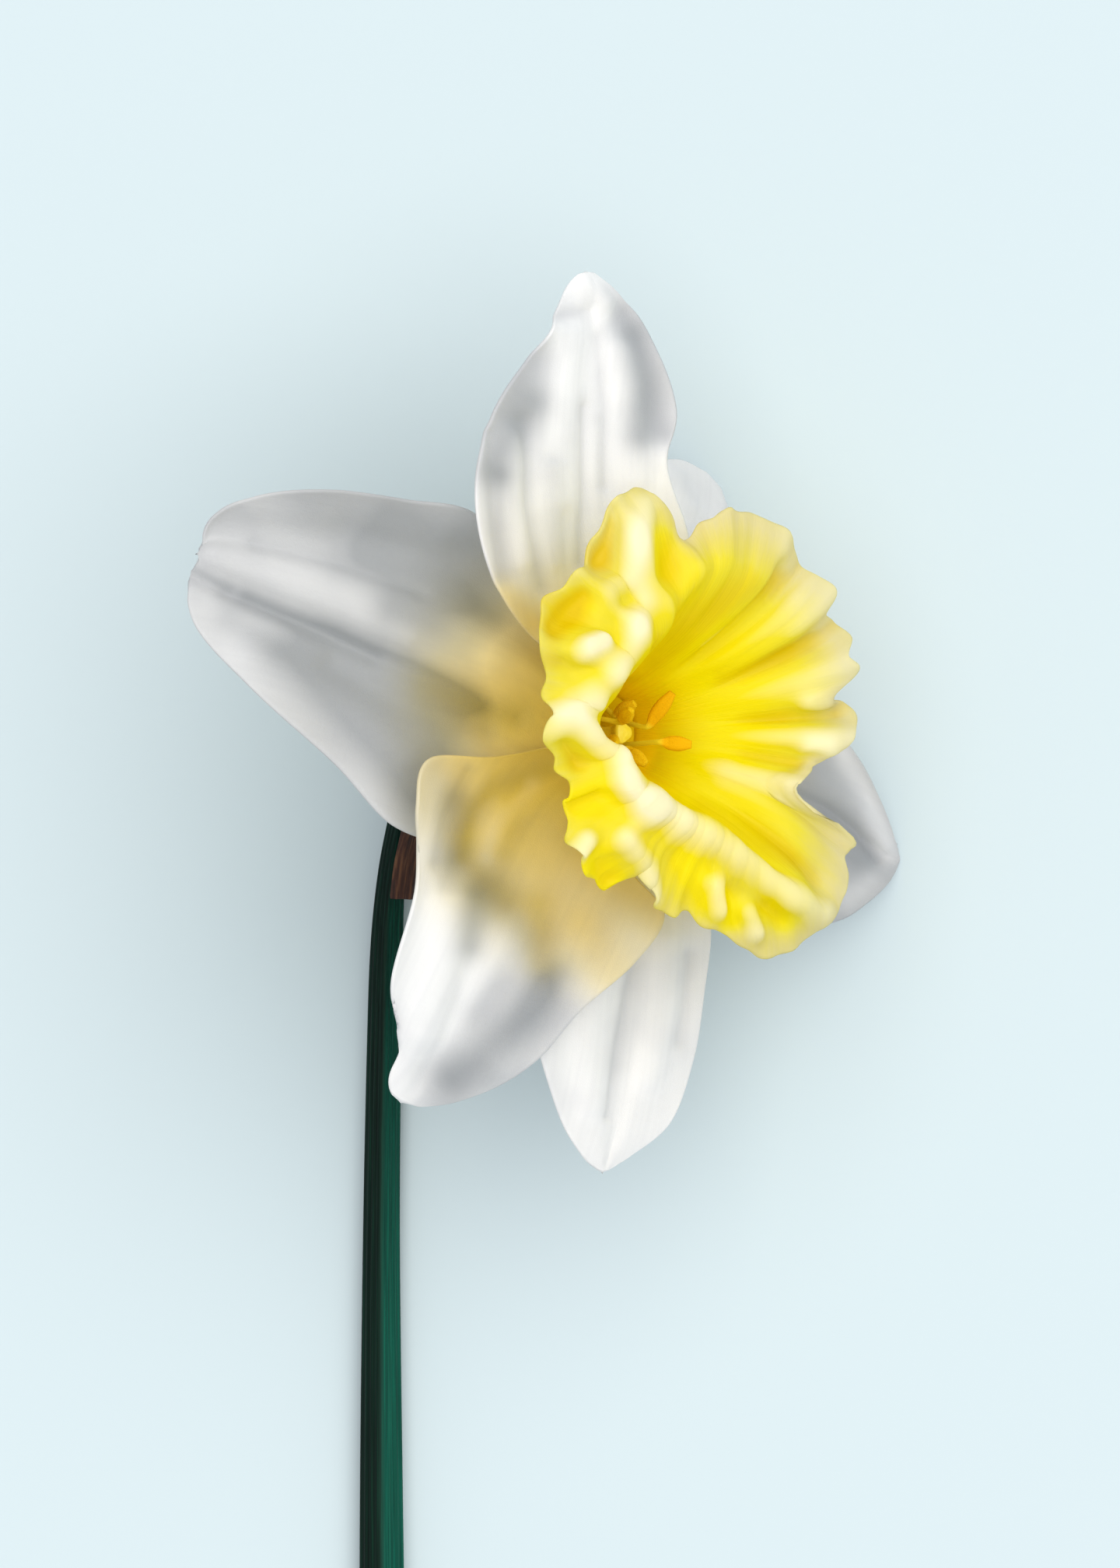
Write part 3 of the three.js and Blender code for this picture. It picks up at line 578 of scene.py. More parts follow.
# Corona. One cup of thinner, crisper yellow tissue that stands on the tube's mouth. Its wall is
# pleated and its lip is frilled and turned out, knobbed where the folds crowd on the left, and pale
# at the scalloped edge on the right. Painted highlights make the knobs nearly white and painted
# shade deepens the yellow in the pockets. Light comes through it deep yellow.
CUP_ROWS = 86
CUP_COLUMNS = 540
THROAT_RADIUS = 6.6
THROAT_FORWARD = 0.4
FOOT_PART = 0.09
FOOT_IN = 1.9
FOOT_DOWN = 3.2
RIM_FORWARD = 13.0
LIP_ARCH = 0.5
LIP_RISE = (0.48, 0.64)
PLEATS = 18
PLEAT_FLARE = 0.3
PLEAT_RISE = (0.02, 0.8)
SMALL_PLEAT_HEIGHT = 0.12
SMALL_PLEAT_PHASE = 0.6
SCALLOP_DEPTH = 0.45
FOLD_RISE = 0.35
FOLD_FADE = 0.15
CUP_THICKNESS = 0.62
EDGE_THICKNESS = 0.4
CREASE_ROUNDS = 5
CREASE_EASING = 0.5
# Shares of the folds' heights that paint shade into the valleys and highlights onto the ridges.
WALL_PAINTED_SHADING = 0.8
PLEAT_PAINTED_SHADING = 0.7
POCKET_PAINTED_SHADE = 0.55
PALE_EDGE_AZIMUTH = 0.35
DEEP_EDGE = 0.17
PIGMENT_WOBBLE = 0.12
CUP_PIGMENT = [
    (0.06, "#F8DC00"), (0.15, "#FEEE00"), (0.3, "#FEF400"), (0.5, "#FBF010"),
    (0.68, "#F5EC4C"), (0.82, "#F0E78E"), (0.95, "#EEE6BC"),
]
POCKET_SHADE_YELLOW = "#EED600"
THROUGH_YELLOW = "#FFFFC0"
KNOB_HIGHLIGHT_WHITE = "#FFFEEE"
KNOB_HIGHLIGHT_THROUGH = "#FFFBDC"
CUP_GLOSS = {"Roughness": 0.42, "IOR": 1.42, "Specular IOR Level": 0.3}
CUP_RELIEF = (0.4, 0.2)
CUP_LIGHT_THROUGH = 0.55
# The veins' pattern goes round on the mouth's own 25 mm, and rises only 2 mm from throat to rim,
# which draws it out up the wall.
CUP_VEIN_SPACING = 0.7
CUP_GRAIN_RADIUS = 25
CUP_GRAIN_RISE = 2.0

# The rim round the cup's axis: azimuth in degrees and radius. There are uneven lobes, a cleft at
# the top between two of them, a deep cleft at the lower right and scallops between those two.
RIM = [
    (5, 25.4), (8.5, 24.4), (12, 21.6), (17, 25.4), (21, 24.1), (24.5, 26.5), (30, 26),
    (35, 24.3), (38.5, 26), (47, 25.6), (58, 26.2), (70, 26.6), (82, 25.7), (86, 24.8),
    (93, 23.1), (99, 22.5), (103, 26.2), (106, 28.3), (113, 30), (121, 29.5), (134, 26.8),
    (153, 28.8), (172, 24.9), (181, 25.5), (190, 23.2), (198, 22.2), (209, 24.6), (222, 24.4),
    (231, 23), (237, 19.4), (253, 21.6), (264, 20.8), (272, 22.4), (279, 23.4), (285, 25.7),
    (292, 28), (300, 28.8), (308, 29.3), (316, 30.1), (320, 29.2), (325, 28.8), (328, 27.5),
    (331, 28.2), (334, 27.6), (336, 17.4), (339, 16.2), (343, 17.2), (348, 19), (353, 20.9),
    (358, 22.9),
]
# Where the wall turns out into the lip: azimuth in degrees, radius and forward.
CREST = [
    (0, 18, 11.5), (50, 18.5, 12), (80, 18.2, 14), (97, 18, 15), (125, 15, 15),
    (154, 16.5, 15), (178, 18.3, 13), (198, 13.5, 14), (220, 12, 15), (245, 11, 15),
    (270, 11, 15), (291, 16, 15), (304, 21.5, 15), (318, 19.5, 12.5), (336, 14.5, 9.5),
    (348, 16.5, 11),
]
# The wall on its way from throat to crest: the parts of the way out and of the way forward.
WALL_LEVELS = [(0, 0), (0.22, 0.3), (0.52, 0.66), (1, 1)]
# How high the pleats stand round the cup: azimuth in degrees and height.
PLEAT_HEIGHT = [
    (0, 0.9), (40, 0.9), (70, 0.7), (95, 0.5), (125, 0.8), (155, 0.7), (180, 0.5), (205, 0.4),
    (230, 0.25), (260, 0.15), (290, 0.15), (310, 0.2), (325, 0.5), (345, 0.5),
]
# How the pleats stray from an even spacing: waves round the cup, radians and phase.
PLEAT_STRAY = [(3, 0.018, 1), (7, 0.012, 2)]
# Folds of the lip: height, width and a line's points, as on the tepals.
LIP_FOLDS = [
    (1, 1.6, -1.1, 6.7, 0.2, 8.7, 1.3, 12.5, 2, 14.8), (0.9, 1.6, 0.4, 17.1, 1.2, 21.1, 2, 25.8),
    (0.8, 1.3, -1.5, 16.6, -0.6, 17.3), (-1.2, 1.2, -1.1, 24.9, -2, 21.1, -3, 19.3),
    (0.7, 1.1, -4.1, 22.2, -2.7, 24.3), (-0.7, 1.3, -0.2, 14.2, -0.8, 11),
    (-1.2, 1.7, 6.1, 22.2, 5, 17.8), (-1.3, 1.6, -4.5, 15.3, -6, 13.9, -7.6, 12.1),
    (2, 1.4, -4.5, 9.4, -3.3, 9.9), (-1.1, 1.3, -6.8, 7.6, -6, 6.8), (-0.8, 1, -4, 7.2, -3.1, 7),
    (1.7, 1.8, -7.7, 1.5, -6, 3.1, -3.8, 3.9),
    (1.4, 1.5, -5.4, 0.6, -3.1, -1.6, -1.3, -3.1, 0.1, -6.1, 1.9, -9),
    (0.7, 1.1, -1.7, -2.7, -0.9, -3.6), (0.8, 1.3, -0.2, -6.3, 1.4, -8.3),
    (-1.4, 1.3, -6.4, -1.6, -5.1, -3.6), (-1.4, 1.6, -5.6, -8.5, -2.9, -7.4),
    (1.8, 1.4, -5.6, -13.5, -4.9, -12.4), (-1.3, 1.6, -2.7, -14.7, -1.8, -16.9),
    (1.3, 1.3, -0.2, -12.2, 2.2, -15.3, 2.9, -18.7),
    (-0.7, 1.9, 5.9, -14.9, 6.8, -16.9, 7.6, -19.8),
    (1.4, 1.8, 3.2, -7.9, 8.8, -11.3, 14.2, -14.7, 18.9, -19, 22.3, -20.7),
    (1.5, 1.3, 10, -17.4, 10.6, -20.1), (-1.2, 1.2, 12.1, -18.4, 13.1, -21.6),
    (1.5, 1.2, 13.8, -20.7, 14.7, -22.8), (-1.3, 1.5, 16.7, -20.2, 18.4, -21.6),
    (1.1, 1.2, 20.9, 3.8, 23.2, 3.4), (1.1, 1.2, 21.1, -1.4, 23.4, -1.8),
    (0.8, 1.2, 18.7, -6.7, 22.3, -8.8),
]
# Painted highlights, above nought, make the tissue paler, and painted shade, below it, makes it
# deeper yellow: strength, width and line.
CUP_PAINTED_LIGHT_AND_SHADE = [
    (0.75, 2, 2, 25.8, 1.2, 22.2, 1.8, 16.8, 1.2, 12.1, -0.4, 8.3), (0.6, 1, -3.9, 9.4, -3.3, 9.9),
    (-1, 1.8, -8.6, 8.5, -7.9, 11.7, -4.9, 15.3), (-0.6, 1.3, -2.3, 19.8, -1.4, 23.6),
    (0.4, 1.6, -8.1, 2.4, -5.1, 3.8), (-1, 2, 3.4, 8.6, 9.3, 13.7, 14.7, 17.3),
    (0.6, 1.3, 9.3, 10.1, 15.1, 13.5, 19.2, 15.7), (-0.8, 1.7, 11.1, 7.2, 16.5, 9.4, 18.3, 9.9),
    (-0.35, 1.2, 14.2, 2.3, 18.3, 1.8), (-0.5, 1.2, 14.2, -3, 19.2, -3.8),
    (0.6, 2, 12, -4.9, 18.7, -5.9), (-0.8, 1.8, 8.8, -8.8, 14.2, -12.4, 19.2, -14.9),
    (0.55, 1.6, 4.5, -9.7, 7, -13),
]
# Where the deep yellow runs out towards the edge: strength, width and line.
CUP_LEMON = [
    (0.3, 2.2, 7.4, -14.9, 8.8, -18.7), (0.5, 1.5, 11.1, -19.4, 12.2, -21.1),
    (0.32, 1.6, 16.5, -20.1, 18.2, -21.4), (0.4, 2, -3.3, -14.9, -1.6, -17.1),
    (0.35, 1.8, -5.4, -8.1, -2.9, -7.6), (0.25, 1.3, 3.9, 22.2, 4.5, 18.6),
    (0.3, 1.8, -6.7, 12.8, -5.1, 14.6),
]
# Folds that fan out up the wall: azimuth and width in degrees, height, and the parts of the way
# from throat to rim where they begin and end.
WALL_FOLDS = [
    (80, 4, -0.5, 0.25, 1.1), (70, 5, 0.5, 0.2, 1.1), (55, 5.5, -1.3, 0.08, 0.92),
    (45, 3.5, 0.7, 0.15, 1.1), (38, 3, 0.3, 0.3, 1.1), (30, 4, -0.7, 0.2, 0.9),
    (20, 4, 0.35, 0.3, 1.1), (14, 3, 0.7, 0.35, 1.1), (6, 2.6, -0.9, 0.2, 1),
    (-2, 3, 0.7, 0.25, 1.1), (-12, 4, -0.5, 0.15, 0.9), (-25, 5, 0.7, 0.12, 0.8),
    (-42, 5, -1.2, 0.2, 0.95), (-33, 4, 0.4, 0.2, 0.9), (100, 6, -0.6, 0.1, 0.6),
]


def through_round(rows, azimuth):
    """Smooth values round a full turn through rows of azimuth in degrees, then values."""
    rows = np.asarray(rows, float)
    degrees = (np.degrees(azimuth) - rows[0, 0]) % 360 + rows[0, 0]
    i = np.searchsorted(rows[:, 0], degrees, side="right") - 1
    ends = np.append(rows[1:, 0], rows[0, 0] + 360)
    part = (degrees - rows[i, 0]) / (ends[i] - rows[i, 0])
    values = (rows[(i + k) % len(rows), 1:] for k in (-1, 0, 1, 2))
    return cubic(*values, part[..., None])


def round_axis(radius, azimuth, forward):
    """Points by radius and azimuth round the bloom's own axis, azimuth 0 to the right."""
    x = radius * np.cos(azimuth) * COS + forward * SIN
    return on_plane(x, radius * np.sin(azimuth), forward)


def cup_points():
    """The cup's middle surface as a closed grid, how far folds raise it, and its painted light and
    shade.
    """
    azimuth = np.arange(CUP_COLUMNS) / CUP_COLUMNS * 2 * np.pi
    [rim] = np.moveaxis(through_round(RIM, azimuth), -1, 0)
    crest, crest_forward = np.moveaxis(through_round(CREST, azimuth), -1, 0)
    [height] = np.moveaxis(through_round(PLEAT_HEIGHT, azimuth), -1, 0)
    stray = azimuth + sum(size * np.sin(n * azimuth + phase) for n, size, phase in PLEAT_STRAY)
    # The rim's own rows give the scallops on the right, so the even ones fade out there.
    scallop = np.cos(2 * PLEATS * stray) * (1 - np.cos(azimuth)) / 2
    edge = rim + SCALLOP_DEPTH * scallop
    profile = [
        np.stack([
            THROAT_RADIUS + out * (crest - THROAT_RADIUS),
            THROAT_FORWARD + up * (crest_forward - THROAT_FORWARD),
        ], axis=-1)
        for out, up in WALL_LEVELS
    ]
    arch = (crest_forward + RIM_FORWARD) / 2 + LIP_ARCH
    profile.append(np.stack([(crest + edge) / 2, arch], axis=-1))
    profile.append(np.stack([edge, RIM_FORWARD + 0 * edge], axis=-1))
    u = np.linspace(0, 1, CUP_ROWS + 1)
    columns = [through(np.array([level[j] for level in profile]), u) for j in range(CUP_COLUMNS)]
    radius, forward = np.moveaxis(np.stack(columns, axis=1), -1, 0)
    u = u[:, None]
    # The wall runs on a little way down inside the tube.
    foot = 1 - ease(0, FOOT_PART, u)
    radius, forward = radius - FOOT_IN * foot, forward - FOOT_DOWN * foot
    pleat = height * np.cos(PLEATS * stray) * ease(*PLEAT_RISE, u)
    small = SMALL_PLEAT_HEIGHT * np.cos(3 * PLEATS * stray + SMALL_PLEAT_PHASE) * u**2
    points = round_axis(radius + PLEAT_FLARE * pleat, azimuth, forward + pleat + small)
    raised = folded(points, LIP_FOLDS) * ease(*LIP_RISE, u)
    wall = np.zeros(raised.shape)
    for degrees, width, fold_height, start, end in WALL_FOLDS:
        away = (np.degrees(azimuth) - degrees + 180) % 360 - 180
        rise = ease(start, start + FOLD_RISE, u) * (1 - ease(end - FOLD_FADE, end, u))
        wall = wall + fold_height * np.exp(-((away / width) ** 2)) * rise
    # Painted shade and highlights follow the folds: pockets deepen the yellow, and knobs, ridges
    # and pleats pale it.
    painted_light_and_shade = np.where(raised < 0, POCKET_PAINTED_SHADE, 1) * raised + folded(points, CUP_PAINTED_LIGHT_AND_SHADE)
    painted_light_and_shade = painted_light_and_shade + WALL_PAINTED_SHADING * wall + PLEAT_PAINTED_SHADING * (pleat + small)
    return points, raised + wall, painted_light_and_shade, u + 0 * azimuth, azimuth + 0 * u


def relaxed(points, rounds):
    """A closed grid of points with its sharp creases eased out, its two edges kept."""
    for _ in range(rounds):
        around = (np.roll(points, 1, axis=1) + np.roll(points, -1, axis=1)) / 2
        middle = (points[:-2] + points[2:] + 2 * around[1:-1]) / 4
        points = points.copy()
        points[1:-1] += CREASE_EASING * (middle - points[1:-1])
    return points


# Yellow petal tissue, grown in pleats: satin, and where it is thin more than half of the light
# comes through it and turns a deep yellow. Painted highlights pale its knobs and ridges, also in
# the light that comes through them, and painted shade deepens the yellow in its pockets.
cup_skin, tree, skin = material("yellow_cup_skin")
grain = node(tree, "Attribute", out="Vector", attribute_name="grain")
painted_fold_shading = node(tree, "Attribute", out="Fac", attribute_name="painted_fold_shading")
reach = node(tree, "Attribute", out="Fac", attribute_name="reach")
# Veins run up the wall and fork towards the edge.
veins = node(
    tree, "TexNoise",
    {"Vector": grain, "Scale": 1 / CUP_VEIN_SPACING, "Detail": 2.0, "Roughness": 0.55},
)
wobble = node(tree, "Math", {0: veins, 1: PIGMENT_WOBBLE, 2: reach}, operation="MULTIPLY_ADD")
pigment = node(tree, "ValToRGB", {"Fac": wobble}, stops=CUP_PIGMENT)
# Painted shade makes the pockets between the folds deeper yellow, and painted highlights make knobs
# and ridges paler.
pocket_shade, knob_highlight = [
    node(tree, "MapRange", {"Value": painted_fold_shading, "From Min": low, "From Max": high, "To Max": most})
    for low, high, most in ((-0.3, -1.5, 0.85), (0.25, 2.0, 0.95))
]
tone = node(tree, "Mix", {"Factor": pocket_shade, 6: pigment, 7: POCKET_SHADE_YELLOW}, 2, data_type="RGBA")
deep = node(
    tree, "Mix", {"Factor": 1.0, 6: tone, 7: THROUGH_YELLOW}, 2,
    data_type="RGBA", blend_type="MULTIPLY",
)
tone, deep = [
    node(tree, "Mix", {"Factor": knob_highlight, 6: base, 7: pale}, 2, data_type="RGBA")
    for base, pale in ((tone, KNOB_HIGHLIGHT_WHITE), (deep, KNOB_HIGHLIGHT_THROUGH))
]
finish(tree, skin, tone, veins, CUP_RELIEF, CUP_GLOSS, CUP_LIGHT_THROUGH, deep)

points, raised, painted_light_and_shade, u, azimuth = cup_points()
points = relaxed(points + facing(points, True) * raised[..., None], CREASE_ROUNDS)
thickness = CUP_THICKNESS + (EDGE_THICKNESS - CUP_THICKNESS) * u
vertices, faces, source = blade(points, thickness, closed=True)
place = np.stack([
    CUP_GRAIN_RADIUS * np.cos(azimuth), CUP_GRAIN_RADIUS * np.sin(azimuth), CUP_GRAIN_RISE * u
], axis=-1)
# The pale edge is broad on the right. On the left the deep yellow runs nearly out to it.
reach = u - DEEP_EDGE * (1 - np.cos(azimuth - PALE_EDGE_AZIMUTH)) * u - folded(points, CUP_LEMON)
values = {
    "grain": place.reshape(-1, 3)[source],
    "painted_fold_shading": painted_light_and_shade.ravel()[source],
    "reach": reach.ravel()[source],
}
corona = shape("frilled_cup", vertices, faces, cup_skin, values)
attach(corona, "root")
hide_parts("corona")

# Floral tube. A slim funnel of firm pale tissue that carries the tepals and the cup, closed at its
# foot over the ovary. Green at the foot runs out into cream, with three faint ribs along it.
TUBE_LENGTH = 17.0
TUBE_FLOOR = 0.8 - TUBE_LENGTH
TUBE_SIDES = 96
TUBE_STEPS = 8
TUBE_RIBS = 0.012
TUBE_MOUTH = (7.2, -0.4)
TUBE_PROFILE = [
    (0.01, -TUBE_LENGTH), (2.6, -TUBE_LENGTH), (2.7, -14), (3.2, -9), (4.2, -5), (5.8, -2.4),
    (7.2, -1), (7.2, -0.4), (6, -0.4), (4.8, -2.2), (3.2, -5), (2.3, -9), (1.9, -14),
    (1.8, TUBE_FLOOR), (0.01, TUBE_FLOOR),
]
TUBE_MOTTLE = 1.1
TUBE_MOTTLE_SHIFT = 3.0
TUBE_COLOUR_RUN = (-16.0, 2.0)
TUBE_COLOURS = [(0.0, "#6F8F45"), (0.45, "#B9C585"), (0.8, "#E6E2A4"), (1.0, "#EFD95A")]
TUBE_LINING_SHADED_DEEP = [(0.45, "#E2BC00"), (0.92, "#F6DC00")]
TUBE_GLOSS = {"Roughness": 0.45, "IOR": 1.42}
TUBE_RELIEF = (0.3, 0.1)


def finer(rows, steps):
    """Rows with evenly spaced ones put in between, so that a turned piece looks smooth."""
    rows = np.asarray(rows, float)
    parts = [a + (b - a) * k / steps for a, b in zip(rows, rows[1:]) for k in range(steps)]
    return np.array([*parts, rows[-1]])


def skinned(rings):
    """Vertices and faces of a solid skinned over rings of points, with a fan over each end."""
    count, sides = rings.shape[:2]
    grid = np.arange(count * sides).reshape(count, sides)
    ahead = np.roll(grid, -1, axis=1)
    quads = np.stack([grid[:-1], ahead[:-1], ahead[1:], grid[1:]], axis=-1).reshape(-1, 4)
    ends = np.stack([rings[0].mean(axis=0), rings[-1].mean(axis=0)])
    faces = quads.tolist()
    for centre, ring in ((count * sides, grid[0][::-1]), (count * sides + 1, grid[-1])):
        faces += [[centre, int(a), int(b)] for a, b in zip(ring, np.roll(ring, -1))]
    return np.concatenate([rings.reshape(-1, 3), ends]), faces


def turned(profile, sides, lobes):
    """Rings of a piece turned round the bloom's axis from radius and forward, with three lobes."""
    azimuth = np.arange(sides) / sides * 2 * np.pi
    radius = profile[:, 0, None] * (1 + lobes * np.cos(3 * azimuth))
    return round_axis(radius, azimuth, profile[:, 1, None] + 0 * azimuth)


def length_down_axis(vertices):
    """How far forward each vertex is along the bloom's axis, in millimetres."""
    return (vertices - BLOOM) @ np.array([SIN, 0, COS])


# Firm stalk-like tissue, grown with a thin wax: satin and opaque, cool green below and cream above,
# in soft patches about a millimetre wide. Inside it has the cup's yellow, darker deeper down as
# painted shade.
tube_skin, tree, skin = material("pale_tube_skin")
forward = node(tree, "Attribute", out="Fac", attribute_name="forward")
inside = node(tree, "Attribute", out="Fac", attribute_name="inside")
position = node(tree, "TexCoord", out="Object")
mottle = node(
    tree, "TexNoise", {"Vector": position, "Scale": 1 / (TUBE_MOTTLE * MM), "Detail": 2.0}
)
spread = node(
    tree, "Math", {0: mottle, 1: TUBE_MOTTLE_SHIFT, 2: forward}, operation="MULTIPLY_ADD"
)
low, high = TUBE_COLOUR_RUN
part = node(tree, "MapRange", {"Value": spread, "From Min": low, "From Max": high})
outer = node(tree, "ValToRGB", {"Fac": part}, stops=TUBE_COLOURS)
shaded_lining = node(tree, "ValToRGB", {"Fac": part}, stops=TUBE_LINING_SHADED_DEEP)
tone = node(tree, "Mix", {"Factor": inside, 6: outer, 7: shaded_lining}, 2, data_type="RGBA")
finish(tree, skin, tone, mottle, TUBE_RELIEF, TUBE_GLOSS)

profile = finer(TUBE_PROFILE, TUBE_STEPS)
vertices, faces = skinned(turned(profile, TUBE_SIDES, TUBE_RIBS))
in_bore = np.arange(len(profile)) >= TUBE_PROFILE.index(TUBE_MOUTH) * TUBE_STEPS
bore = np.append(np.repeat(in_bore, TUBE_SIDES), [False, True]).astype(float)
values = {"forward": length_down_axis(vertices), "inside": bore}
tube = shape("floral_funnel", vertices, faces, tube_skin, values)
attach(tube, "root")
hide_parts("floral_tube")

# Ovary. A blunt three-cornered seed pod, firm and glossy green, between the stalk and the tube,
# with a shallow furrow down each side.
SEAT_GAP = 0.3
OVARY_FRONT = -TUBE_LENGTH - SEAT_GAP
OVARY_LENGTH = 10.0
OVARY_SHAPE = [
    (2.1, 0), (2.7, 0.12), (3.2, 0.32), (3.3, 0.55), (2.9, 0.78), (2.4, 0.92), (2.1, 1),
]
POD_STEPS = 60
POD_SIDES = 72
POD_LOBES = 0.07
POD_MOTTLE = 1.4
POD_GREEN = "#3F7240"
POD_DARK = "#173F2A"
POD_GLOSS = {"Roughness": 0.36, "IOR": 1.45}
POD_RELIEF = (0.3, 0.1)

# Leaf-green pod skin, grown smooth and waxed: it has a soft gloss over mottled green.
ovary_skin, tree, skin = material("ovary_green_skin")
position = node(tree, "TexCoord", out="Object")
mottle = node(
    tree, "TexNoise", {"Vector": position, "Scale": 1 / (POD_MOTTLE * MM), "Detail": 3.0}
)
tone = node(tree, "Mix", {"Factor": mottle, 6: POD_DARK, 7: POD_GREEN}, 2, data_type="RGBA")
finish(tree, skin, tone, mottle, POD_RELIEF, POD_GLOSS)

pod = through(OVARY_SHAPE, np.linspace(0, 1, POD_STEPS))
pod[:, 1] = OVARY_FRONT - OVARY_LENGTH + pod[:, 1] * OVARY_LENGTH
vertices, faces = skinned(turned(pod, POD_SIDES, POD_LOBES))
ovary = shape("seed_pod", vertices, faces, ovary_skin)
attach(ovary, "root")
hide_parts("ovary")

# Stem and flower stalk. One two-edged bar of firm leaf tissue with a waxy bloom, which bends over
# behind the ovary and lies along the floor. Fine ribs run its whole length, and its cut end shows
# pale pith inside a green rind.
STEM_SIDES = 72
STEM_STEPS = 240
STEM_SQUARENESS = 1.2
STEM_RIBS = 14
STEM_RIB_HEIGHT = 0.035
STEM_START = -(TUBE_LENGTH + OVARY_LENGTH + 2 * SEAT_GAP)
BEND_START = STEM_START - 2.2
CUT_RINGS = (0.93, 0.7, 0.35)
# The fibres' pattern goes round a radius of 6 where the stem has 2.5 mm, so its 0.625 comes out as
# lines 0.26 mm wide. It moves on by only 0.06 a ring, which draws them out along the stem.
STEM_FIBRE = 0.625
STEM_GRAIN_RADIUS = 6
STEM_GRAIN_STEP = 0.06
# Where the painted lit side begins and ends across the bar, how it grows along the stem, and how
# much of it shows at the neck.
PAINTED_LIGHT_FACE = (-0.15, 0.25)
PAINTED_LIGHT_RUN = (0.25, 0.95)
PAINTED_LIGHT_AT_NECK = 0.15
# Shaded and lit copies of the rind's colours, for painted shade and painted light.
STEM_SHADED = [(0.3, "#03100B"), (0.55, "#061D15"), (0.8, "#0A3023")]
STEM_PAINTED_LIT = [(0.3, "#053B30"), (0.55, "#085343"), (0.8, "#0F6C56")]
PITH_COLOUR = "#B7C98F"
STEM_GLOSS = {"Roughness": 0.45, "IOR": 1.4, "Specular IOR Level": 0.12}
STEM_RELIEF = (0.35, 0.15)
# The path's x and y from the bloom and its height, then the bar's half width and half height.
STEM_ROWS = [
    (STEM_START * SIN, 0, BLOOM[2] + STEM_START * COS, 1.5, 1.5),
    (BEND_START * SIN, 0, BLOOM[2] + BEND_START * COS, 1.5, 1.5),
    (-23.2, -2.2, 10.2, 1.5, 1.5), (-25.2, -6.4, 7.5, 1.5, 1.6), (-26.6, -12, 5, 1.55, 1.7),
    (-27.5, -18, 3.3, 1.7, 1.9), (-28, -26, 2.4, 1.95, 2.2), (-28.3, -38, 2.4, 2.05, 2.4),
    (-28.6, -60, 2.4, 2.2, 2.4), (-28.6, -90, 2.5, 2.55, 2.5), (-28.4, -120, 2.6, 2.8, 2.6),
    (-28.1, -150, 2.7, 2.9, 2.7), (-27.9, -180, 2.7, 3, 2.7),
]


def sections(centres, reach):
    """Rings square to a path. reach is each ring's level and upright reach at each side."""
    along = np.gradient(centres, axis=0)
    along /= np.linalg.norm(along, axis=1, keepdims=True)
    level = np.cross(along, [0, 0, 1])
    level /= np.linalg.norm(level, axis=1, keepdims=True)
    upright = np.cross(level, along)
    flat, high = (each[..., None] for each in reach)
    return centres[:, None] - level[:, None] * flat + upright[:, None] * high


rows = through(STEM_ROWS, np.linspace(0, 1, STEM_STEPS + 1))
centres = rows[:, :3] + np.array([BLOOM[0], BLOOM[1], 0])
turn = np.arange(STEM_SIDES) / STEM_SIDES * 2 * np.pi
across, upright = np.cos(turn), np.sin(turn)
corner = np.abs(across) ** STEM_SQUARENESS + np.abs(upright) ** STEM_SQUARENESS
corner = corner ** (-1 / STEM_SQUARENESS) + STEM_RIB_HEIGHT * (np.cos(STEM_RIBS * turn) - 1)
rings = sections(
    centres, (rows[:, 3, None] * corner * across, rows[:, 4, None] * corner * upright)
)
end = rings[-1].mean(axis=0)
rings = np.concatenate([rings, [end + (rings[-1] - end) * part for part in CUT_RINGS]])
vertices, faces = skinned(rings)
pith = np.zeros(len(vertices))
pith[(STEM_STEPS + 1) * STEM_SIDES : -2] = 1
pith[-1] = 1
stem_grain = np.stack([
    STEM_GRAIN_RADIUS * np.tile(across, len(rings)),
    STEM_GRAIN_RADIUS * np.tile(upright, len(rings)),
    np.repeat(np.arange(len(rings)) * STEM_GRAIN_STEP, STEM_SIDES),
], axis=-1)
stem_grain = np.concatenate([stem_grain, np.zeros((2, 3))])
# Painted light and shade: the right face is painted as lit green and the left as shaded, more so
# towards the cut end.
down = np.clip(np.arange(len(rings)) / STEM_STEPS, 0, 1)[:, None]
painted_lit_side = ease(*PAINTED_LIGHT_FACE, across) * (
    PAINTED_LIGHT_AT_NECK + (1 - PAINTED_LIGHT_AT_NECK) * ease(*PAINTED_LIGHT_RUN, down)
)
painted_lit_side = np.concatenate([painted_lit_side.ravel(), [0, 0]])

# Leaf-like stem skin, grown in fine ribs under a waxy bloom: dark blue-green, with a dull sheen
# that breaks into lines along the stem. Its right face is painted lighter as if lit and its left
# nearly black as painted shade. The cut shows moist pale pith.
stem_skin, tree, skin = material("waxy_green_stem_skin")
grain = node(tree, "Attribute", out="Vector", attribute_name="grain")
pale = node(tree, "Attribute", out="Fac", attribute_name="pith")
lit = node(tree, "Attribute", out="Fac", attribute_name="painted_lit_side")
ribs = node(tree, "TexNoise", {"Vector": grain, "Scale": 1 / STEM_FIBRE, "Detail": 3.0})
shaded = node(tree, "ValToRGB", {"Fac": ribs}, stops=STEM_SHADED)
painted_lit = node(tree, "ValToRGB", {"Fac": ribs}, stops=STEM_PAINTED_LIT)
rind = node(tree, "Mix", {"Factor": lit, 6: shaded, 7: painted_lit}, 2, data_type="RGBA")
tone = node(tree, "Mix", {"Factor": pale, 6: rind, 7: PITH_COLOUR}, 2, data_type="RGBA")
finish(tree, skin, tone, ribs, STEM_RELIEF, STEM_GLOSS)

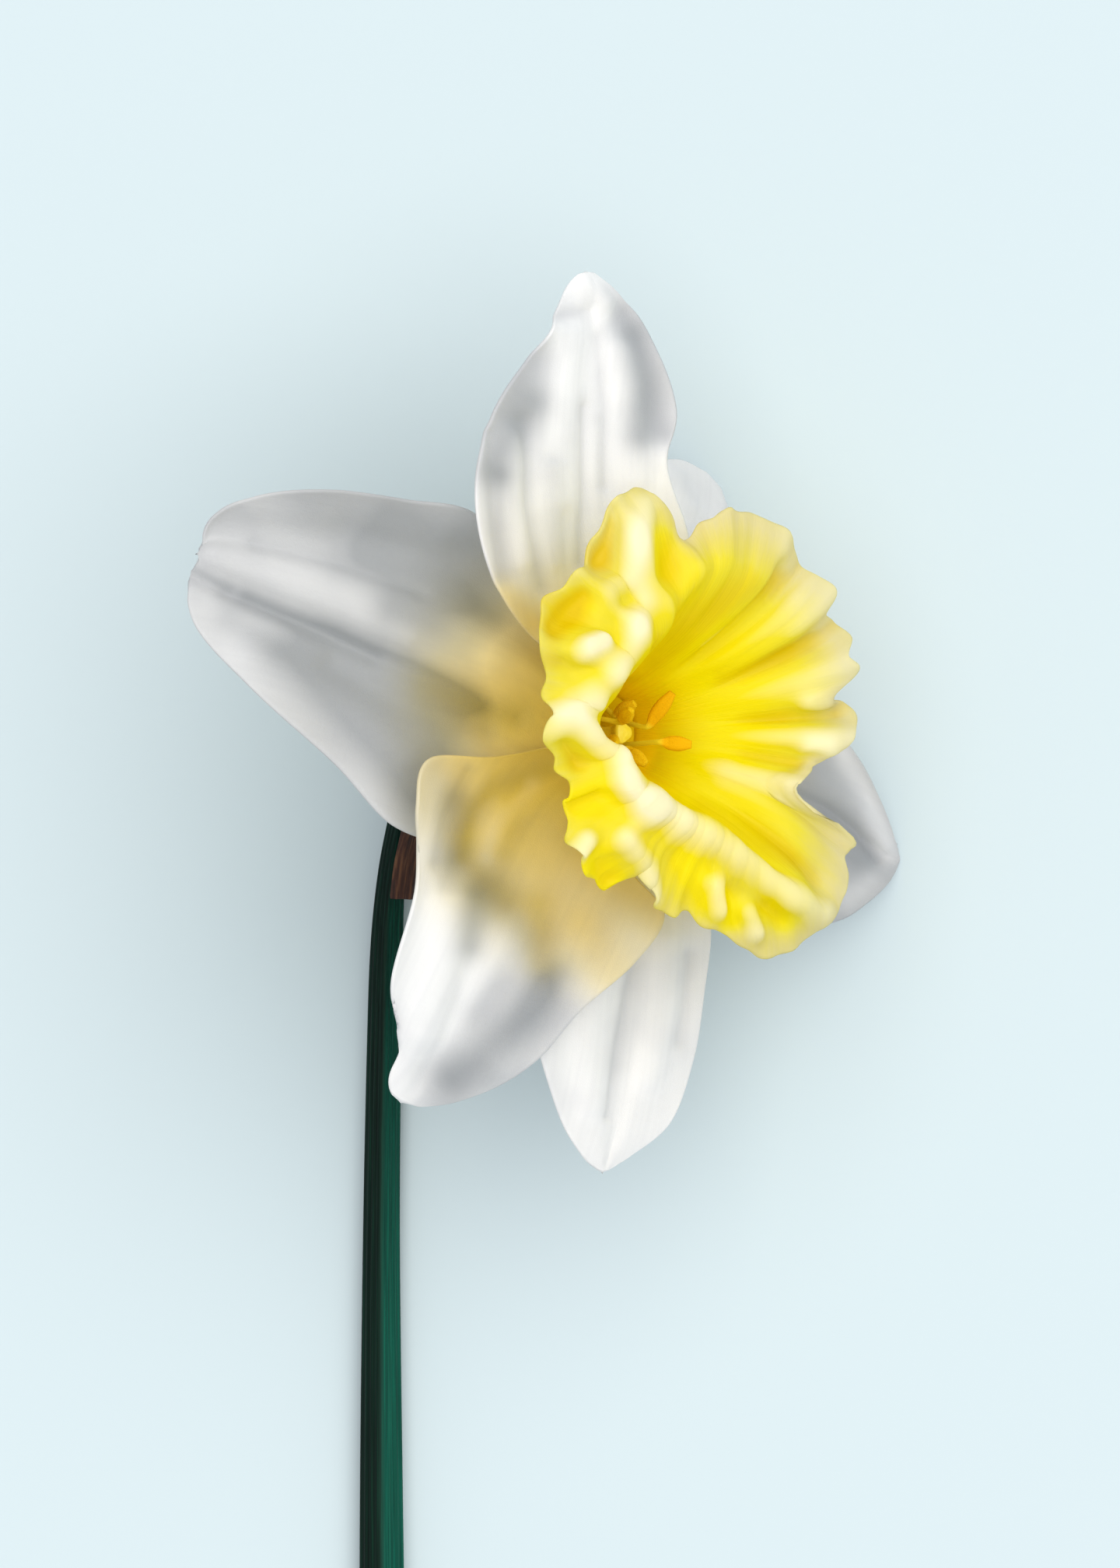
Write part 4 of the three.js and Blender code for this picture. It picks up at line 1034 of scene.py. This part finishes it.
values = {"grain": stem_grain, "pith": pith, "painted_lit_side": painted_lit_side}
stem = shape("two_edged_stem", vertices, faces, stem_skin, values)
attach(stem, "root")
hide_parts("stem")

# Spathe. The dry bract that once held the bud: a thin, papery, reddish brown sheet with parallel
# veins, wrapped round the stalk and then standing free of it to a point. Its brown is painted
# darker than the dry tissue's own, as shade.
BRACT_ROWS = 80
BRACT_COLUMNS = 40
BRACT_THICKNESS = 0.3
# Each crinkle is a height, and the radians that its waves turn by across and along the bract.
BRACT_CRINKLE = (0.1, 9, 3)
BRACT_EDGE_CRINKLE = (0.12, 4, 16)
BRACT_VEIN_SPACING = 0.45
BRACT_VEIN_LENGTHENING = 12.5
BRACT_COLOURS_WITH_SHADE = [(0.3, "#24110B"), (0.5, "#4A291B"), (0.72, "#84593A")]
BRACT_GLOSS = {"Roughness": 0.7}
BRACT_RELIEF = (0.6, 0.2)
BRACT_LIGHT_THROUGH = 0.3
# Each row is one margin, the middle and the other margin, as x, y from the bloom and height.
SPATHE_ROWS = [
    (-25.6, -19.5, 1.2, -25, -19.5, 4, -27.4, -19.4, 5.9),
    (-25, -14.2, 2.4, -24.3, -14, 5.4, -26.6, -13.8, 7.2),
    (-23.8, -9.8, 3.8, -23, -8.8, 6.8, -24.8, -8, 9.7),
    (-21.6, -6, 4.2, -20.8, -4.8, 6.6, -21, -3.4, 9),
    (-17.8, -3.2, 4.2, -17.2, -2, 6.2, -17.6, -0.8, 8.2),
    (-13.8, -1, 4.8, -13.6, -0.4, 5.4, -13.8, 0.2, 6),
]

u = np.linspace(0, 1, BRACT_ROWS + 1)[:, None]
side = np.linspace(-1, 1, BRACT_COLUMNS + 1)[None, :]
row = through(SPATHE_ROWS, u + 0 * side)
lower, middle, upper = row[..., :3], row[..., 3:6], row[..., 6:]
points = middle + (upper - lower) * (side / 2)[..., None]
points = points + ((lower + upper) / 2 - middle) * (side**2)[..., None]
points = points + np.array([BLOOM[0], BLOOM[1], 0])
crinkle, edge_crinkle = [
    height * np.sin(turn_across * side + turn_along * u)
    for height, turn_across, turn_along in (BRACT_CRINKLE, BRACT_EDGE_CRINKLE)
]
crinkle = crinkle + edge_crinkle * np.abs(side)
along, across = measured(points)
points = points + facing(points, False) * crinkle[..., None]
vertices, faces, source = blade(points, np.full(points.shape[:2], BRACT_THICKNESS))

# Dry papery bract, grown and then withered: dull, crinkled and reddish brown, darkened further by
# painted shade, with paler veins half a millimetre apart and a little light coming through.
spathe_skin, tree, skin = material("dry_papery_bract")
grain = node(tree, "Attribute", out="Vector", attribute_name="grain")
drawn_out = node(tree, "Mapping", {"Vector": grain, "Scale": (1, 1 / BRACT_VEIN_LENGTHENING, 1)})
veins = node(
    tree, "TexNoise", {"Vector": drawn_out, "Scale": 1 / BRACT_VEIN_SPACING, "Detail": 3.0}
)
tone = node(tree, "ValToRGB", {"Fac": veins}, stops=BRACT_COLOURS_WITH_SHADE)
finish(tree, skin, tone, veins, BRACT_RELIEF, BRACT_GLOSS, BRACT_LIGHT_THROUGH, tone)

place = np.stack([across, along, 0 * along], axis=-1).reshape(-1, 3)[source]
spathe = shape("papery_bract", vertices, faces, spathe_skin, {"grain": place})
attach(spathe, "root")
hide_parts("spathe")

# Stamens. Six pale green-yellow filaments stand round the pistil, each with a two-lobed anther
# that has split and is coated with loose orange-yellow pollen grains, which make it look velvety.
# Each has its foot's azimuth, its anther's foot and tip by x, y and forward on the bloom's axis,
# and how ripe the pollen is: the upper whorl's is orange and the lower whorl's still amber.
STAMENS = [
    (25, (1.8, 0.7, 2), (3, 4.6, 5), 1),
    (330, (1.7, -1.1, 4), (4.1, -1.4, 7), 1),
    (140, (-1.6, 1.2, 1), (-3.2, 2.6, 4.5), 0.25),
    (200, (-1.9, -0.6, -0.5), (-3.8, -1.4, 2.5), 0.15),
    (275, (0.3, -1.9, 0), (0.2, -3.6, 3.4), 0.3),
    (80, (0.4, 2, -2), (0.6, 3.4, 1.2), 0.2),
]
STAMEN_STEPS = 90
STAMEN_SIDES = 24
FILAMENT_RING = 2.9
FILAMENT_FOOT = -3.5
# Half widths at the filament's foot, middle and top, and at a third, two thirds and the tip of the
# anther. Its pollen begins at the parts of the way given next.
STAMEN_WIDTHS = [0.3, 0.3, 0.35, 0.8, 0.85, 0.45]
ANTHER_START = (0.4, 0.5)
ANTHER_FURROW = 0.22
FILAMENT_YELLOW = "#EEDC30"
POLLEN_AMBER = "#F2DA20"
POLLEN_ORANGE = "#E8AE00"
POLLEN_GAPS = "#DAA600"
POLLEN_GRAIN = 0.12
POLLEN_GLOSS = {"Roughness": 0.75, "Specular IOR Level": 0.1}
POLLEN_RELIEF = (0.5, 0.08)

# Anther skin under a coat of loose pollen: matt and velvety, with no highlight. The real grains
# measure about 0.04 mm, too fine to show, so they are drawn three times as coarse.
anther_skin, tree, skin = material("pollen_coated_anther")
coated = node(tree, "Attribute", out="Fac", attribute_name="anther")
ripe = node(tree, "Attribute", out="Fac", attribute_name="ripe")
position = node(tree, "TexCoord", out="Object")
pollen = node(tree, "TexVoronoi", {"Vector": position, "Scale": 1 / (POLLEN_GRAIN * MM)})
tone = POLLEN_AMBER
for share, other in ((ripe, POLLEN_ORANGE), (pollen, POLLEN_GAPS)):
    tone = node(tree, "Mix", {"Factor": share, 6: tone, 7: other}, 2, data_type="RGBA")
tone = node(tree, "Mix", {"Factor": coated, 6: FILAMENT_YELLOW, 7: tone}, 2, data_type="RGBA")
finish(tree, skin, tone, pollen, POLLEN_RELIEF, POLLEN_GLOSS)

t = np.linspace(0, 1, STAMEN_STEPS)
turn = np.arange(STAMEN_SIDES) / STAMEN_SIDES * 2 * np.pi
head = ease(*ANTHER_START, t)[:, None]
furrow = 1 + head * ANTHER_FURROW * (np.cos(2 * turn) - 1)
coat = np.concatenate([np.repeat(head[:, 0], STAMEN_SIDES), [0, 1]])
for i, (degrees, base, tip, ripeness) in enumerate(STAMENS):
    azimuth = math.radians(degrees)
    foot = (FILAMENT_RING * math.cos(azimuth), FILAMENT_RING * math.sin(azimuth), FILAMENT_FOOT)
    foot, base, tip = np.array(foot), np.array(base), np.array(tip)
    path = [foot, (foot + base) / 2, *(base + part * (tip - base) for part in (0, 0.33, 0.66, 1))]
    stations = [(*place, width) for place, width in zip(path, STAMEN_WIDTHS)]
    p, q, forward, width = through(stations, t).T
    centres = round_axis(np.hypot(p, q), np.arctan2(q, p), forward)
    girth = width[:, None] * furrow
    vertices, faces = skinned(sections(centres, (girth * np.cos(turn), girth * np.sin(turn))))
    values = {"anther": coat, "ripe": np.full(len(coat), float(ripeness))}
    stamen = shape(f"stamen_{i + 1}_with_anther", vertices, faces, anther_skin, values)
    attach(stamen, "root")
    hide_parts(f"stamen_{i + 1}")

# Pistil. A pale green-yellow style stands on the tube's floor and opens into a moist stigma with
# three lobes, which is what catches the light in the throat.
PISTIL_PROFILE = [
    (0.6, TUBE_FLOOR + SEAT_GAP), (0.6, -12), (0.6, -8), (0.65, -4), (0.7, -1.8), (1, -0.9),
    (1.25, -0.3), (1.1, 0.1), (0.5, 0.3),
]
PISTIL_STEPS = 80
PISTIL_SIDES = 48
STIGMA_LOBES = 0.12
STIGMA_GRAIN = 0.4
STIGMA_DEEP = "#EED420"
STIGMA_PALE = "#F5E650"
STIGMA_GLOSS = {"Roughness": 0.3, "IOR": 1.4}
STIGMA_RELIEF = (0.4, 0.06)

# Moist stigma tissue, grown with fine blunt hairs: a wet gloss broken into small points. The hairs
# are about 0.1 mm wide, too fine to show, so they are drawn four times as coarse.
pistil_skin, tree, skin = material("moist_stigma_skin")
position = node(tree, "TexCoord", out="Object")
hairs = node(
    tree, "TexNoise", {"Vector": position, "Scale": 1 / (STIGMA_GRAIN * MM), "Detail": 2.0}
)
tone = node(tree, "Mix", {"Factor": hairs, 6: STIGMA_DEEP, 7: STIGMA_PALE}, 2, data_type="RGBA")
finish(tree, skin, tone, hairs, STIGMA_RELIEF, STIGMA_GLOSS)

profile = through(PISTIL_PROFILE, np.linspace(0, 1, PISTIL_STEPS))
vertices, faces = skinned(turned(profile, PISTIL_SIDES, STIGMA_LOBES))
pistil = shape("style_and_stigma", vertices, faces, pistil_skin)
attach(pistil, "root")
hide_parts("pistil")
